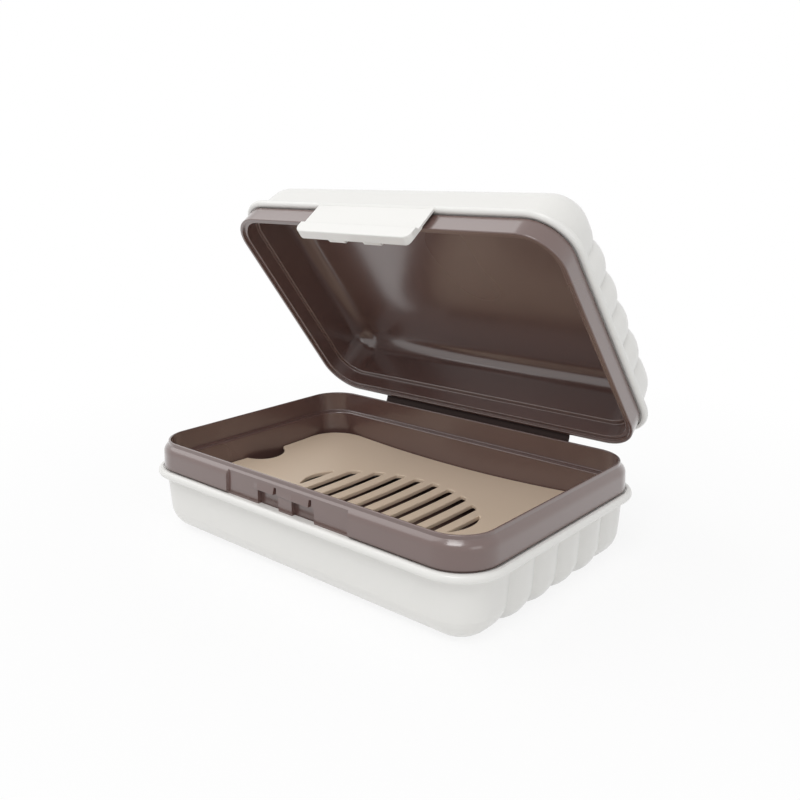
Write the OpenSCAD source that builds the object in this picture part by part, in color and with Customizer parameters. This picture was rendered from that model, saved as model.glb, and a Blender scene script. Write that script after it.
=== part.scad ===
// Travel soap box: a two-part case with a strap hinge, a snap tab and a lift-out
// drain tray. Millimetres, +Z up. The origin is the centre of the base's underside,
// the hinge is at +Y and the snap tab at -Y. Each half is a white outer shell with
// a dark inner liner, whose band shows between the shell's bead and the rim.
// An offset is measured from the face of the bands, outwards positive.

/* [Case] */
// Length of the case over its bands
case_l = 120; // [112:1:140]
// Width of the case over its bands
case_w = 81; // [78:1:96]
// Corner radius of the bands, seen from above
corner_r = 11.5; // [10.5:0.5:13]
// Height of the base shell, to the top of its bead
base_h = 19; // [16:0.2:22]
// Height of the lid shell, from its bead to its top
lid_h = 16.8; // [16:0.2:22]
// Height of the base band above the shell's bead
base_band_h = 7.2; // [6.6:0.1:10]
// Height of the lid band below the shell's bead
lid_band_h = 5.8; // [5:0.1:8]
// Gap between the two rims when the lid is shut
rim_gap = 0.3; // [0.2:0.1:0.6]
// How far the lid stands open
lid_open = 52.4; // [0:0.1:180]

/* [Shells] */
// Wall of the shells
shell_wall = 1.3; // [1.2:0.1:1.6]
// Floor of the shells
shell_floor = 1.6; // [1.2:0.1:2.4]
// Draft of the shells' walls, in degrees
shell_draft = 6; // [3:0.5:7]
// Radius round the bottom edge of a shell
edge_r = 8; // [6:0.5:8.5]
// How far the wall steps in under the bead
wall_step = 0.9; // [0.6:0.1:1.2]
// How far the bead stands out
bead_out = 1.9; // [1.5:0.1:2.6]
// Height of the bead
bead_h = 2.6; // [2:0.1:3.2]
// Fillet under the bead
bead_fillet = 1.2; // [0.6:0.1:1.4]
// Drop from the bead's top to the shoulder on which the liner sits
seat_drop = 0.4; // [0.2:0.1:0.8]

/* [Grip ribs] */
// Lobes on each short end of a shell
rib_count = 4; // [2:1:5]
// Distance between two lobes
rib_pitch = 10.95; // [8:0.05:11]
// Radius of a lobe's rounded face
rib_r = 11; // [11:0.5:16]
// How far the lobes stand out from the wall
rib_out = 0.6; // [0.5:0.1:0.8]
// Distance from the bead's top down to the start of the ribs
rib_start = 3.2; // [3:0.1:5]
// How much larger the grooves' bend under the bottom edge is than the edge's radius
groove_more_r = 0.4; // [0.2:0.1:1]

/* [Liners] */
// Wall of the liners at the floor
liner_wall = 0.8; // [0.7:0.1:1]
// Floor of the liners
liner_floor = 1.2; // [0.8:0.1:1.6]
// Gap between shell and liner
liner_gap = 0.15; // [0.1:0.05:0.3]
// Draft inside the liners, in degrees
tub_draft = 2.5; // [1:0.5:3]
// Radius round the bottom edge inside the liners
tub_r = 5.75; // [5:0.25:6.5]
// Height of the base liner's inner ledge above its seat
base_ledge_up = 1.8; // [1.2:0.1:3]
// Height of the lid liner's inner ledge above its seat
lid_ledge_up = 0.8; // [0.6:0.1:1.2]
// Wall of the base band
base_band_wall = 2; // [1.9:0.1:2.4]
// Wall of the lid band
lid_band_wall = 2.4; // [2.3:0.1:2.8]
// Height of the base band's bevel
bevel_h = 1.5; // [0.8:0.1:2]
// Depth of the base band's bevel
bevel_in = 1.1; // [0.4:0.1:1.1]
// Distance from the band's face in to the base's upright lip
lip_in = 1.2; // [1.2:0.1:1.3]
// Height of the lip above the base's rim
lip_h = 0.8; // [0.6:0.1:1.6]
// Side gap between the lip and the lid's rim
lip_gap = 0.3; // [0.2:0.1:0.5]
// Rounding on the lip's top
lip_round = 0.3; // [0.1:0.05:0.35]

/* [Snap tab] */
// Width of the tab
tab_w = 43.2; // [36:0.2:54]
// Distance from the lid band's face to the tab's outer face
tab_out = 1.8; // [1.5:0.1:1.9]
// Gap between the tab and the lid's band
tab_gap = 0.3; // [0.2:0.1:0.5]
// How far the tab's lower part reaches in past the band's face
tab_in = 0.3; // [0.1:0.1:0.4]
// Gap between the tab's end and the base's bead
tab_end_gap = 0.7; // [0.4:0.1:1.5]
// How far the thumb lip stands out from the tab
thumb_out = 1; // [0.6:0.1:2]
// Height of the thumb lip
thumb_h = 4.3; // [3:0.1:5.5]
// Corner radius of the tab's free end
tab_corner_r = 2.4; // [0.5:0.1:2.8]
// Distance between the two hooks
hook_pitch = 13.3; // [10:0.1:20]
// Width of a hook
hook_w = 6.3; // [4:0.1:8]
// Height of a hook
hook_h = 2.3; // [1.6:0.1:2.6]
// How far a hook stands in from the tab
hook_in = 1.3; // [1:0.05:1.4]
// Gap between the tab's end and a hook
hook_up = 0.3; // [0:0.1:0.4]
// Side gap between the tab and its recess
recess_gap = 1.4; // [0.5:0.1:2]
// Depth of the recess in the base's band
recess_d = 0.85; // [0.7:0.05:0.85]
// Clearance round a hook in its pocket
pocket_gap = 0.65; // [0.3:0.05:1]
// Gap between a hook's top and the pocket's
catch_gap = 0.3; // [0.2:0.1:0.6]
// Wall behind the pockets
pocket_wall = 1.6; // [1:0.1:2]

/* [Hinge] */
// Width of the hinge strap
strap_w = 72.6; // [50:0.2:80]
// Thickness of the strap
strap_t = 0.8; // [0.5:0.1:0.9]
// Length of the strap along its bend
strap_l = 5.6; // [5.5:0.1:6.5]
// Height of the strap's seat on either band, from the parting line
strap_seat = 1.7; // [1.3:0.1:1.8]
// Gap between the two beads with the lid folded right back
fold_gap = 0.4; // [0.2:0.1:1]

/* [Drain tray] */
// Height of the tray's top over the tub's floor, at the middle
tray_up = 7.6; // [6:0.1:8]
// Thickness of the tray
tray_t = 1.25; // [1:0.05:2]
// Radius of the tray's dished top
dish_r = 580; // [500:10:1200]
// Corner radius of the tray
tray_corner_r = 13; // [10:0.5:18]
// Gap between the tray and the tub's wall
tray_gap = 0.2; // [0.2:0.1:1]
// Number of drain slots
slot_count = 10; // [6:2:12]
// Distance between two slots
slot_pitch = 6.65; // [5:0.05:7]
// Width of a slot
slot_w = 3.2; // [2:0.1:4]
// Half length of the oval field of slots
field_x = 31; // [28:0.5:36]
// Half width of the oval field of slots
field_y = 20.5; // [18:0.5:24]
// End radius of the oval field
field_end_r = 13; // [10:0.5:15]
// Radius of the finger notch
notch_r = 8.4; // [6:0.1:11]
// Distance from the tray's end out to the notch's centre
notch_out = 3.1; // [0:0.1:4]
// Offset of the notch towards the hinge
notch_y = 2.1; // [-4:0.1:4]
// Radius of a foot
foot_r = 2.2; // [1.5:0.1:3]
// Distance between the feet along the case
foot_x = 84; // [60:1:90]
// Distance between the feet across the case
foot_y = 46; // [36:1:50]

/* [Hidden] */
$fn = 96;

shell_color = [0.96, 0.96, 0.94];
liner_color = [0.47, 0.41, 0.40];
tray_color = [0.82, 0.75, 0.66];

half_l = case_l / 2;
half_w = case_w / 2;
// Small step that keeps two faces from lying in one plane where only one is wanted
nudge = 0.05;
over = 1;

// Heights in the shut case
base_rim = base_h + base_band_h;
lid_rim = lid_h + lid_band_h;
case_h = base_rim + rim_gap + lid_rim;
parting = base_rim + rim_gap / 2;
lid_seam = case_h - lid_h;

// Hinge line
pivot_y = half_w + bead_out + fold_gap / 2;
pivot_z = parting;

// Offset of a shell's wall, outside and inside, at height z of a shell h high
function wall_at(h, z) = -wall_step - (h - bead_h - z) * tan(shell_draft);
function shell_in_at(h, z) = wall_at(h, z) - shell_wall / cos(shell_draft);

// Offset of a liner's wall, outside and inside, and the heights of its floor
liner_z = shell_floor + liner_gap;
tub_z = liner_z + liner_floor;
function liner_out_at(h, z) = shell_in_at(h, z) - liner_gap / cos(shell_draft);
function tub_at(h, z) = liner_out_at(h, tub_z) - liner_wall + (z - tub_z) * tan(tub_draft);

// Snap tab, as distances in front of the case's middle and heights in the shut case
tab_outer = half_w + tab_out;
tab_inner = half_w + tab_gap;
tab_low_inner = half_w - tab_in;
tab_end = base_h + tab_end_gap;
tab_step = parting - tab_gap;
hook_low = tab_end + hook_up;
hook_top = hook_low + hook_h;
hook_tip = tab_low_inner - hook_in;
recess_y = half_w - recess_d;
pocket_y = hook_tip - pocket_gap;
pocket_w = hook_w + 2 * pocket_gap + 2 * catch_gap;
pocket_top = hook_top + catch_gap;

// Tray outline, which clears the tub at the height of the tray's lowest edge
tray_top = tub_z + tray_up;
tray_x = half_l + tub_at(base_h, tray_top - tray_t) - tray_gap;
tray_y = half_w + tub_at(base_h, tray_top - tray_t) - tray_gap;
dish_z = tray_top + dish_r;
// Height over the tub's floor that clears the dish's rise at the tray's corners
tray_clear = tray_up + (tray_x * tray_x + tray_y * tray_y) / (2 * dish_r) + over;
function dish_under(x, y) = dish_z - sqrt(pow(dish_r + tray_t, 2) - x * x - y * y);

// A wall profile, drawn as [offset, height], carried round the case
module around() {
    for (turn = [0, 180]) rotate([0, 0, turn]) {
        translate([half_l, 0, 0]) rotate([90, 0, 0])
            linear_extrude(case_w - 2 * corner_r, center = true) children();
        translate([0, half_w, 0]) rotate([90, 0, 90])
            linear_extrude(case_l - 2 * corner_r, center = true) children();
    }
    for (corner = [[1, 1, 0], [-1, 1, 90], [-1, -1, 180], [1, -1, 270]])
        translate([corner[0] * (half_l - corner_r), corner[1] * (half_w - corner_r), 0])
            rotate([0, 0, corner[2]])
                rotate_extrude(angle = 90) translate([corner_r, 0]) children();
}

// The flat middle of a floor
module floor_plate(z, t) {
    translate([corner_r - half_l, corner_r - half_w, z])
        cube([case_l - 2 * corner_r, case_w - 2 * corner_r, t]);
}

// Everything inside a drafted wall, with a rounded bottom edge.
// x is the wall's offset at z0, where the rounding is not counted.
module inside_wall(x, z0, z1, draft, r) {
    wall_r = x + r * tan(draft);
    cx = wall_r - r / cos(draft);
    polygon([[-corner_r, z0], [cx, z0], [cx, z0 + r],
             [cx + r * cos(draft), z0 + r - r * sin(draft)],
             [x + (z1 - z0) * tan(draft), z1], [-corner_r, z1]]);
    intersection() {
        translate([cx, z0 + r]) circle(r);
        translate([cx, z0]) square([r, r]);
    }
}

module bead_profile(h) {
    nose = bead_h / 2;
    under = h - bead_h;
    shoulder = shell_in_at(h, under);
    // rounded nose and the flat behind it
    translate([bead_out - nose, h - nose]) circle(nose);
    translate([shoulder, under])
        square([bead_out - nose - shoulder, bead_h]);
    // fillet between the wall and the bead
    z = under - bead_fillet;
    x = wall_at(h, z) + bead_fillet / cos(shell_draft);
    difference() {
        polygon([[x - bead_fillet * cos(shell_draft), z + bead_fillet * sin(shell_draft)],
                 [x, under], [wall_at(h, under), under]]);
        translate([x, z]) circle(bead_fillet);
    }
}

module shell_profile(h) {
    seat = h - seat_drop;
    difference() {
        union() {
            inside_wall(wall_at(h, 0), 0, h - bead_h, shell_draft, edge_r);
            bead_profile(h);
        }
        inside_wall(shell_in_at(h, shell_floor), shell_floor, h - bead_h, shell_draft,
                    edge_r - shell_wall);
        // opening and the shoulder for the liner
        polygon([[-corner_r - over, h - bead_h],
                 [shell_in_at(h, h - bead_h), h - bead_h], [shell_in_at(h, seat), seat],
                 [nudge, seat], [nudge, h + over], [-corner_r - over, h + over]]);
    }
}

// Offset 0 of the rib sections is the wall's outer face; y runs along the end.
// The pad that carries the lobes stops short of the outer grooves' bottoms.
module rib_pad() {
    half = (rib_count / 2 - 1 / 20) * rib_pitch;
    translate([-shell_wall / 2, -half]) square([shell_wall / 2 + rib_out, 2 * half]);
}

// The grooves: what is left between the lobes, with one more at each side
module grooves() {
    side = (rib_count / 2 + 3 / 10) * rib_pitch;
    difference() {
        translate([-shell_wall, -side])
            square([shell_wall + rib_out + over, 2 * side]);
        for (i = [-1 : rib_count])
            translate([rib_out - rib_r, (i - (rib_count - 1) / 2) * rib_pitch]) circle(rib_r);
    }
}

// A section carried down the end wall and round the bottom edge, with radius r there
module down_end(h, r) {
    x = wall_at(h, r) - r / cos(shell_draft);
    top = (h - rib_start - r) / cos(shell_draft);
    translate([half_l + x, 0, r]) {
        rotate([0, shell_draft, 0]) translate([r, 0, 0])
            linear_extrude(top) children();
        rotate([90, 0, 0]) rotate([0, 0, -90])
            rotate_extrude(angle = 90 - shell_draft)
                translate([r, 0]) mirror([0, 1]) children();
    }
}

module shell_body(h) {
    difference() {
        union() {
            around() shell_profile(h);
            floor_plate(0, shell_floor);
            for (turn = [0, 180]) rotate([0, 0, turn]) down_end(h, edge_r) rib_pad();
        }
        for (turn = [0, 180]) rotate([0, 0, turn])
            down_end(h, edge_r + groove_more_r) grooves();
        // flat underside
        translate([-case_l, -case_w, -2 * edge_r])
            cube([2 * case_l, 2 * case_w, 2 * edge_r]);
    }
}

// Liner up to its inner ledge
module tub_profile(h, ledge_up) {
    seat = h - seat_drop;
    ledge = seat + ledge_up;
    difference() {
        union() {
            inside_wall(liner_out_at(h, liner_z), liner_z, seat, shell_draft,
                        edge_r - shell_wall - liner_gap);
            translate([-corner_r, seat]) square([corner_r, ledge_up]);
        }
        inside_wall(tub_at(h, tub_z), tub_z, ledge, tub_draft, tub_r);
    }
}

module base_band_profile() {
    ledge = base_h - seat_drop + base_ledge_up;
    lip_w = base_band_wall - lip_in;
    lip_top = base_rim + lip_h;
    polygon([[-base_band_wall, ledge], [0, ledge], [0, base_rim - bevel_h],
             [-bevel_in, base_rim], [-base_band_wall, base_rim]]);
    translate([-base_band_wall, base_rim]) square([lip_w, lip_h - lip_round]);
    translate([lip_round - base_band_wall, base_rim])
        square([lip_w - 2 * lip_round, lip_h]);
    for (x = [lip_round - base_band_wall, -lip_in - lip_round])
        translate([x, lip_top - lip_round]) circle(lip_round);
}

module lid_band_profile() {
    ledge = lid_h - seat_drop + lid_ledge_up;
    rebate = lip_in - lip_gap;
    translate([-lid_band_wall, ledge])
        square([lid_band_wall, lid_rim - lip_h - ledge]);
    translate([-rebate, ledge]) square([rebate, lid_rim - ledge]);
}

module base_shell() {
    color(shell_color) shell_body(base_h);
}

module pockets() {
    for (side = [-1, 1]) translate([side * hook_pitch / 2, 0, 0]) {
        translate([-pocket_w / 2, -half_w - over, base_h - seat_drop - over])
            cube([pocket_w, half_w + over - pocket_y, pocket_top + over - base_h + seat_drop]);
    }
}

module base_liner() {
    pad_w = hook_pitch + pocket_w + 2 * pocket_wall;
    pad_y = pocket_y - pocket_wall;
    seat = base_h - seat_drop;
    color(liner_color) difference() {
        union() {
            around() {
                tub_profile(base_h, base_ledge_up);
                base_band_profile();
            }
            floor_plate(liner_z, liner_floor);
            // thicker wall behind the pockets
            translate([-pad_w / 2, -half_w + base_band_wall - nudge, seat])
                cube([pad_w, half_w - base_band_wall + nudge - pad_y,
                      pocket_top + pocket_wall - seat]);
        }
        // recess for the tab
        translate([-tab_w / 2 - recess_gap, -half_w - over, seat - over])
            cube([tab_w + 2 * recess_gap, over + recess_d, base_rim - seat + over]);
        pockets();
    }
}

module tray_outline() {
    r = tray_corner_r;
    for (sx = [-1, 1], sy = [-1, 1])
        translate([sx * (tray_x - r), sy * (tray_y - r)]) circle(r);
    square([2 * tray_x, 2 * (tray_y - r)], center = true);
    square([2 * (tray_x - r), 2 * tray_y], center = true);
}

// Oval made of two end circles and two long arcs that meet them smoothly
module slot_field() {
    cx = field_x - field_end_r;
    // long arc's radius, from tangency with the end circles
    side_r = (cx * cx + field_y * field_y - field_end_r * field_end_r)
             / (2 * (field_y - field_end_r));
    cy = side_r - field_y;
    tangent_x = side_r * cx / (side_r - field_end_r);
    intersection() {
        translate([0, -cy]) circle(side_r);
        translate([0, cy]) circle(side_r);
        square([2 * tangent_x, 2 * field_y + over], center = true);
    }
    for (side = [-1, 1]) intersection() {
        translate([side * cx, 0]) circle(field_end_r);
        translate([side * (tangent_x + field_x) / 2, 0])
            square([field_x - tangent_x, 2 * field_end_r], center = true);
    }
}

module drain_tray() {
    color(tray_color) difference() {
        union() {
            intersection() {
                translate([0, 0, tub_z]) linear_extrude(tray_clear)
                    tray_outline();
                translate([0, 0, dish_z]) rotate([90, 0, 0])
                    sphere(dish_r + tray_t, $fn = 360);
            }
            for (sx = [-1, 1], sy = [-1, 1])
                translate([sx * foot_x / 2, sy * foot_y / 2, tub_z])
                    cylinder(r = foot_r,
                             h = dish_under(foot_x / 2, foot_y / 2) + tray_t / 2 - tub_z);
        }
        translate([0, 0, dish_z]) rotate([90, 0, 0]) sphere(dish_r, $fn = 360);
        translate([0, 0, tub_z]) linear_extrude(tray_clear) intersection() {
            slot_field();
            for (i = [0 : slot_count - 1])
                translate([(i - (slot_count - 1) / 2) * slot_pitch, 0])
                    square([slot_w, 2 * field_y + over], center = true);
        }
        translate([-tray_x - notch_out, notch_y, tub_z])
            cylinder(r = notch_r, h = tray_clear);
    }
}

// The lid's pieces are drawn upside down on their top, then turned over and opened
module lid_pose() {
    translate([0, pivot_y, pivot_z]) rotate([-lid_open, 0, 0])
        translate([0, -pivot_y, -pivot_z]) children();
}

module turned_over() {
    translate([0, 0, case_h]) mirror([0, 0, 1]) children();
}

module lid_shell() {
    root_h = bead_h / 2;
    color(shell_color) lid_pose() {
        turned_over() shell_body(lid_h);
        // root of the snap tab, which squares the bead off
        translate([-tab_w / 2, -tab_outer, lid_seam])
            cube([tab_w, tab_out - nudge, root_h]);
    }
}

module lid_liner() {
    color(liner_color) lid_pose() turned_over() {
        around() {
            tub_profile(lid_h, lid_ledge_up);
            lid_band_profile();
        }
        floor_plate(liner_z, liner_floor);
    }
}

// Side view of the tab in the shut case, as [y, z]
module tab_profile() {
    round_r = thumb_out / 2;
    thumb_top = tab_end + thumb_h;
    polygon([[-tab_outer, lid_seam], [-tab_inner, lid_seam], [-tab_inner, tab_step],
             [-tab_low_inner, tab_step - tab_gap - tab_in], [-tab_low_inner, tab_end],
             [-tab_outer, tab_end]]);
    translate([-tab_outer - thumb_out, tab_end])
        square([thumb_out, thumb_h - round_r]);
    translate([-tab_outer - thumb_out + round_r, thumb_top - round_r])
        square([round_r, round_r]);
    translate([-tab_outer - thumb_out + round_r, thumb_top - round_r]) circle(round_r);
}

// Front view of the tab in the shut case, as [x, z]
module tab_face() {
    r = tab_corner_r;
    for (side = [-1, 1]) translate([side * (tab_w / 2 - r), tab_end + r]) circle(r);
    translate([r - tab_w / 2, tab_end]) square([tab_w - 2 * r, 2 * r]);
    translate([-tab_w / 2, tab_end + r]) square([tab_w, lid_seam - tab_end - r]);
}

module hooks() {
    for (side = [-1, 1]) translate([side * hook_pitch / 2, 0, 0])
        rotate([90, 0, 90]) linear_extrude(hook_w, center = true)
            polygon([[-tab_low_inner - nudge, hook_low], [-tab_low_inner, hook_low],
                     [-hook_tip, hook_low + hook_h / 6], [-hook_tip, hook_top],
                     [-tab_low_inner - nudge, hook_top]]);
}

module latch_tab() {
    color(shell_color) lid_pose() {
        intersection() {
            rotate([90, 0, 90]) linear_extrude(tab_w, center = true) tab_profile();
            translate([0, over - half_w, 0]) rotate([90, 0, 0])
                linear_extrude(over + tab_outer + 2 * thumb_out + over - half_w) tab_face();
        }
        hooks();
    }
}

// Side view of the strap as [y, z]: an arc from the base's band to the lid's
module strap_profile() {
    low = [half_w, parting - strap_seat - strap_t / 2];
    reach = [half_w - pivot_y, strap_seat];
    high = [pivot_y + reach[0] * cos(lid_open) + reach[1] * sin(lid_open),
            pivot_z - reach[0] * sin(lid_open) + reach[1] * cos(lid_open)];
    chord = high - low;
    chord_l = norm(chord);
    // rise of the arc, from its length
    rise = sqrt(3 / 8 * chord_l * (strap_l - chord_l));
    bend_r = (chord_l * chord_l / 4 + rise * rise) / (2 * rise);
    out = [chord[1], -chord[0]] / chord_l;
    centre = (low + high) / 2 - out * (bend_r - rise);
    size = 4 * strap_l;
    difference() {
        translate(centre) circle(bend_r + strap_t / 2);
        translate(centre) circle(bend_r - strap_t / 2);
        // inside of the two bands
        translate([half_w - size, low[1] - size / 2]) square(size);
        translate(high) rotate(-lid_open) translate([-size, -size / 2]) square(size);
        // far side of the circle
        translate((low + high) / 2 - out * strap_t)
            rotate(atan2(out[1], out[0])) translate([-size, -size / 2]) square(size);
    }
}

module hinge_strap() {
    color(liner_color) rotate([90, 0, 90])
        linear_extrude(strap_w, center = true) strap_profile();
}

base_shell();
base_liner();
drain_tray();
hinge_strap();
lid_shell();
lid_liner();
latch_tab();
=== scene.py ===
"""A travel soap box, standing open on a pale floor.

The case is two white shells with dark liners, joined by a strap behind their bands. A snap
tab hangs from the lid and a dished drain tray lies in the base. Each half is drawn in its
own frame, flat face on z = 0 and opening up; the lid's is then turned over and opened.
Sizes are in millimetres until a mesh is finished, which turns them into metres.
"""

from __future__ import annotations
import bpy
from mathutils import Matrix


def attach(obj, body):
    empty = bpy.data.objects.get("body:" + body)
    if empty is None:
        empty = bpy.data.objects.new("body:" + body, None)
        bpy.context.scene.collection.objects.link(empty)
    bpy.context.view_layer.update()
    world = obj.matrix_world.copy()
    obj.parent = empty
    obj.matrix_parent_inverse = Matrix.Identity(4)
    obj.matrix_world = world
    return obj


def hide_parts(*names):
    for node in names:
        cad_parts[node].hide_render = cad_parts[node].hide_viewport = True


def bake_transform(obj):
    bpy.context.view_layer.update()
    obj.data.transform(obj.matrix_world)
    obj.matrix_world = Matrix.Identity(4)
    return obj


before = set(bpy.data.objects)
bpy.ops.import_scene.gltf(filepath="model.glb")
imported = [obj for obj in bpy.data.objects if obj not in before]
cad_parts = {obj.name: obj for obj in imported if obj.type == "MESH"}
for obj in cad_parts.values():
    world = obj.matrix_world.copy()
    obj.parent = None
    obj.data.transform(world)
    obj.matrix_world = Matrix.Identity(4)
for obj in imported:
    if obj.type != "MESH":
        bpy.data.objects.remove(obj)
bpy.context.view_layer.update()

import logging
import math
from dataclasses import dataclass, field
from enum import Enum
from functools import partial
from typing import Callable, Iterable, Sequence

import bmesh
import bpy
from mathutils import Matrix, Vector
from mathutils.geometry import delaunay_2d_cdt

LOG = logging.getLogger("soap_box")
MM = 0.001
# Slack in comparing two places, in millimetres
SLACK = 0.01
# Below this a turn is no corner and a stretch has no length
TINY = 1e-4

Point2 = tuple[float, float]
Corner = tuple[float, float, float]


class Side(Enum):
    """The side of the case that a place on its outline belongs to."""

    RIGHT = "right"
    BACK = "back"
    LEFT = "left"
    FRONT = "front"
    CORNER = "corner"


class Half(Enum):
    """The two halves of the case."""

    BASE = "base"
    LID = "lid"


# ---------------------------------------------------------------------------- sizes


@dataclass(frozen=True)
class CaseSize:
    """Sizes that both halves share, in millimetres."""

    length: float = 120.0
    width: float = 81.0
    corner_r: float = 11.5
    base_h: float = 19.0
    lid_h: float = 16.8
    base_band_h: float = 7.2
    lid_band_h: float = 5.8
    rim_gap: float = 0.3
    lid_open: float = 52.4
    draft: float = 6.0
    shell_wall: float = 1.3
    shell_floor: float = 1.6
    edge_r: float = 8.0
    wall_step: float = 0.9
    bead_out: float = 1.75
    bead_h: float = 2.25
    bead_fillet: float = 1.2
    seat_drop: float = 0.4
    seam: float = 0.25
    seam_round: float = 0.2
    pivot_out: float = 2.1
    flat_from: float = -10.1
    inner_flat_from: float = -10.3
    flat_rings: tuple[float, ...] = (-10.4, -10.8, -11.2)

    @property
    def half_l(self) -> float:
        """Half the length over the bands."""
        return self.length / 2

    @property
    def half_w(self) -> float:
        """Half the width over the bands."""
        return self.width / 2

    @property
    def base_rim(self) -> float:
        """Height of the base's rim."""
        return self.base_h + self.base_band_h

    @property
    def lid_rim(self) -> float:
        """Height of the lid's rim over its own flat face."""
        return self.lid_h + self.lid_band_h

    @property
    def shut_h(self) -> float:
        """Height of the shut case."""
        return self.base_rim + self.rim_gap + self.lid_rim

    @property
    def parting(self) -> float:
        """Height of the plane between the two rims."""
        return self.base_rim + self.rim_gap / 2

    @property
    def pivot(self) -> Point2:
        """The hinge line, as y and z."""
        return self.half_w + self.pivot_out, self.parting

    @property
    def bead_r(self) -> float:
        """Radius of the bead's edges, which all but meet in its nose."""
        return self.bead_h / 2 - SLACK

    def flat(self, z: float) -> list[Corner]:
        """Corners of a flat floor at height z, from its edge to its middle."""
        return [(offset, z, 0) for offset in self.flat_rings]

    def height(self, half: Half) -> float:
        """Height of a half's shell.

        Args:
            half: The half of the case.

        Returns:
            The height from its flat face to its bead.
        """
        return self.base_h if half is Half.BASE else self.lid_h

    def wall_at(self, h: float, z: float) -> float:
        """Offset of the shell's outer wall.

        Args:
            h: Height of the shell.
            z: Height on the wall.

        Returns:
            The offset from the band's face, outwards positive.
        """
        slope = math.tan(math.radians(self.draft))
        return -self.wall_step - (h - self.bead_h - z) * slope

    def shell_in_at(self, h: float, z: float) -> float:
        """Offset of the shell's inner wall; see wall_at."""
        return self.wall_at(h, z) - self.shell_wall / math.cos(math.radians(self.draft))


@dataclass(frozen=True)
class LinerSize:
    """Sizes of the liners, in millimetres."""

    wall: float = 0.8
    floor: float = 1.2
    gap: float = 0.15
    draft: float = 2.5
    base_ledge_up: float = 1.8
    lid_ledge_up: float = 0.8
    base_band_wall: float = 2.0
    lid_band_wall: float = 2.4
    bevel_drop: float = 1.5
    bevel_h: float = 1.25
    bevel_round: float = 2.4
    lip_in: float = 1.35
    lip_h: float = 0.8
    lip_gap: float = 0.3
    lip_round: float = 0.31
    lip_foot_round: float = 0.12
    rim_round: float = 0.3
    step_round: float = 0.1
    ledge_round: float = 0.35
    ledge_in_round: float = 0.5
    tub_r: float = 5.75
    shadow_in: float = 0.7
    shadow_h: float = 0.28
    shadow_round: float = 0.08

    def under(self, case: CaseSize) -> float:
        """Height of the liner's underside over the shell's flat face."""
        return case.shell_floor + self.gap

    def tub(self, case: CaseSize) -> float:
        """Height of the liner's floor over the shell's flat face."""
        return self.under(case) + self.floor

    def out_at(self, case: CaseSize, h: float, z: float) -> float:
        """Offset of the liner's outer wall at height z in a shell h high."""
        return case.shell_in_at(h, z) - self.gap / math.cos(math.radians(case.draft))

    def tub_at(self, case: CaseSize, h: float, z: float) -> float:
        """Offset of the liner's inner wall.

        Args:
            case: Sizes of the case.
            h: Height of the shell.
            z: Height on the wall.

        Returns:
            The offset from the band's face, outwards positive.
        """
        tub = self.tub(case)
        slope = math.tan(math.radians(self.draft))
        return self.out_at(case, h, tub) - self.wall + (z - tub) * slope


# ------------------------------------------------------------------- shapes and meshes


def rounded(corners: Sequence[Corner], step_deg: float = 14.0) -> list[Point2]:
    """Draws a line through corners and rounds each with an arc.

    Args:
        corners: Each corner's place and its radius, 0 for a sharp one.
        step_deg: Largest turn between two points of an arc.

    Returns:
        The points of the line.
    """
    points: list[Point2] = []
    last = len(corners) - 1
    for i, (x, z, radius) in enumerate(corners):
        if radius <= 0 or i in (0, last):
            points.append((x, z))
            continue
        here = Vector((x, z))
        back = (Vector(corners[i - 1][:2]) - here).normalized()
        on = (Vector(corners[i + 1][:2]) - here).normalized()
        turn = math.pi - back.angle(on)
        if turn < TINY:
            points.append((x, z))
            continue
        reach = radius * math.tan(turn / 2)
        centre = here + (back + on).normalized() * (radius / math.cos(turn / 2))
        start = here + back * reach
        first = math.atan2(start.y - centre.y, start.x - centre.x)
        way = 1.0 if back.x * on.y - back.y * on.x < 0 else -1.0
        steps = max(2, math.ceil(math.degrees(turn) / step_deg))
        for k in range(steps + 1):
            a = first + way * turn * k / steps
            points.append((centre.x + radius * math.cos(a), centre.y + radius * math.sin(a)))
    return points


def with_levels(points: Sequence[Point2], levels: Sequence[float],
                keep: Callable[[Point2, Point2], bool]) -> list[Point2]:
    """Adds points to a line where it crosses given heights.

    Args:
        points: The line.
        levels: Heights at which a point is wanted.
        keep: Says of a stretch's two ends whether points are added in it.

    Returns:
        The line with its new points.
    """
    out = [points[0]]
    for p, q in zip(points, points[1:]):
        if keep(p, q):
            low, high = sorted((p[1], q[1]))
            inside = [v for v in levels if low + TINY < v < high - TINY]
            for v in sorted(inside, reverse=q[1] < p[1]):
                t = (v - p[1]) / (q[1] - p[1])
                out.append((p[0] + (q[0] - p[0]) * t, v))
        out.append(q)
    return out


def step_at(place: float, gap: float = 0.04) -> tuple[float, float]:
    """The two places, close together, that make a crisp step."""
    return place - gap, place + gap


@dataclass(frozen=True)
class Station:
    """A place on the way round the case: a point of the band's face and the way out."""

    x: float
    y: float
    out_x: float
    out_y: float
    side: Side

    def at(self, offset: float, z: float) -> Vector:
        """The point at an offset from the band's face.

        Args:
            offset: Distance from the band's face, outwards positive.
            z: Height.

        Returns:
            The point.
        """
        return Vector((self.x + self.out_x * offset, self.y + self.out_y * offset, z))


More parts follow.
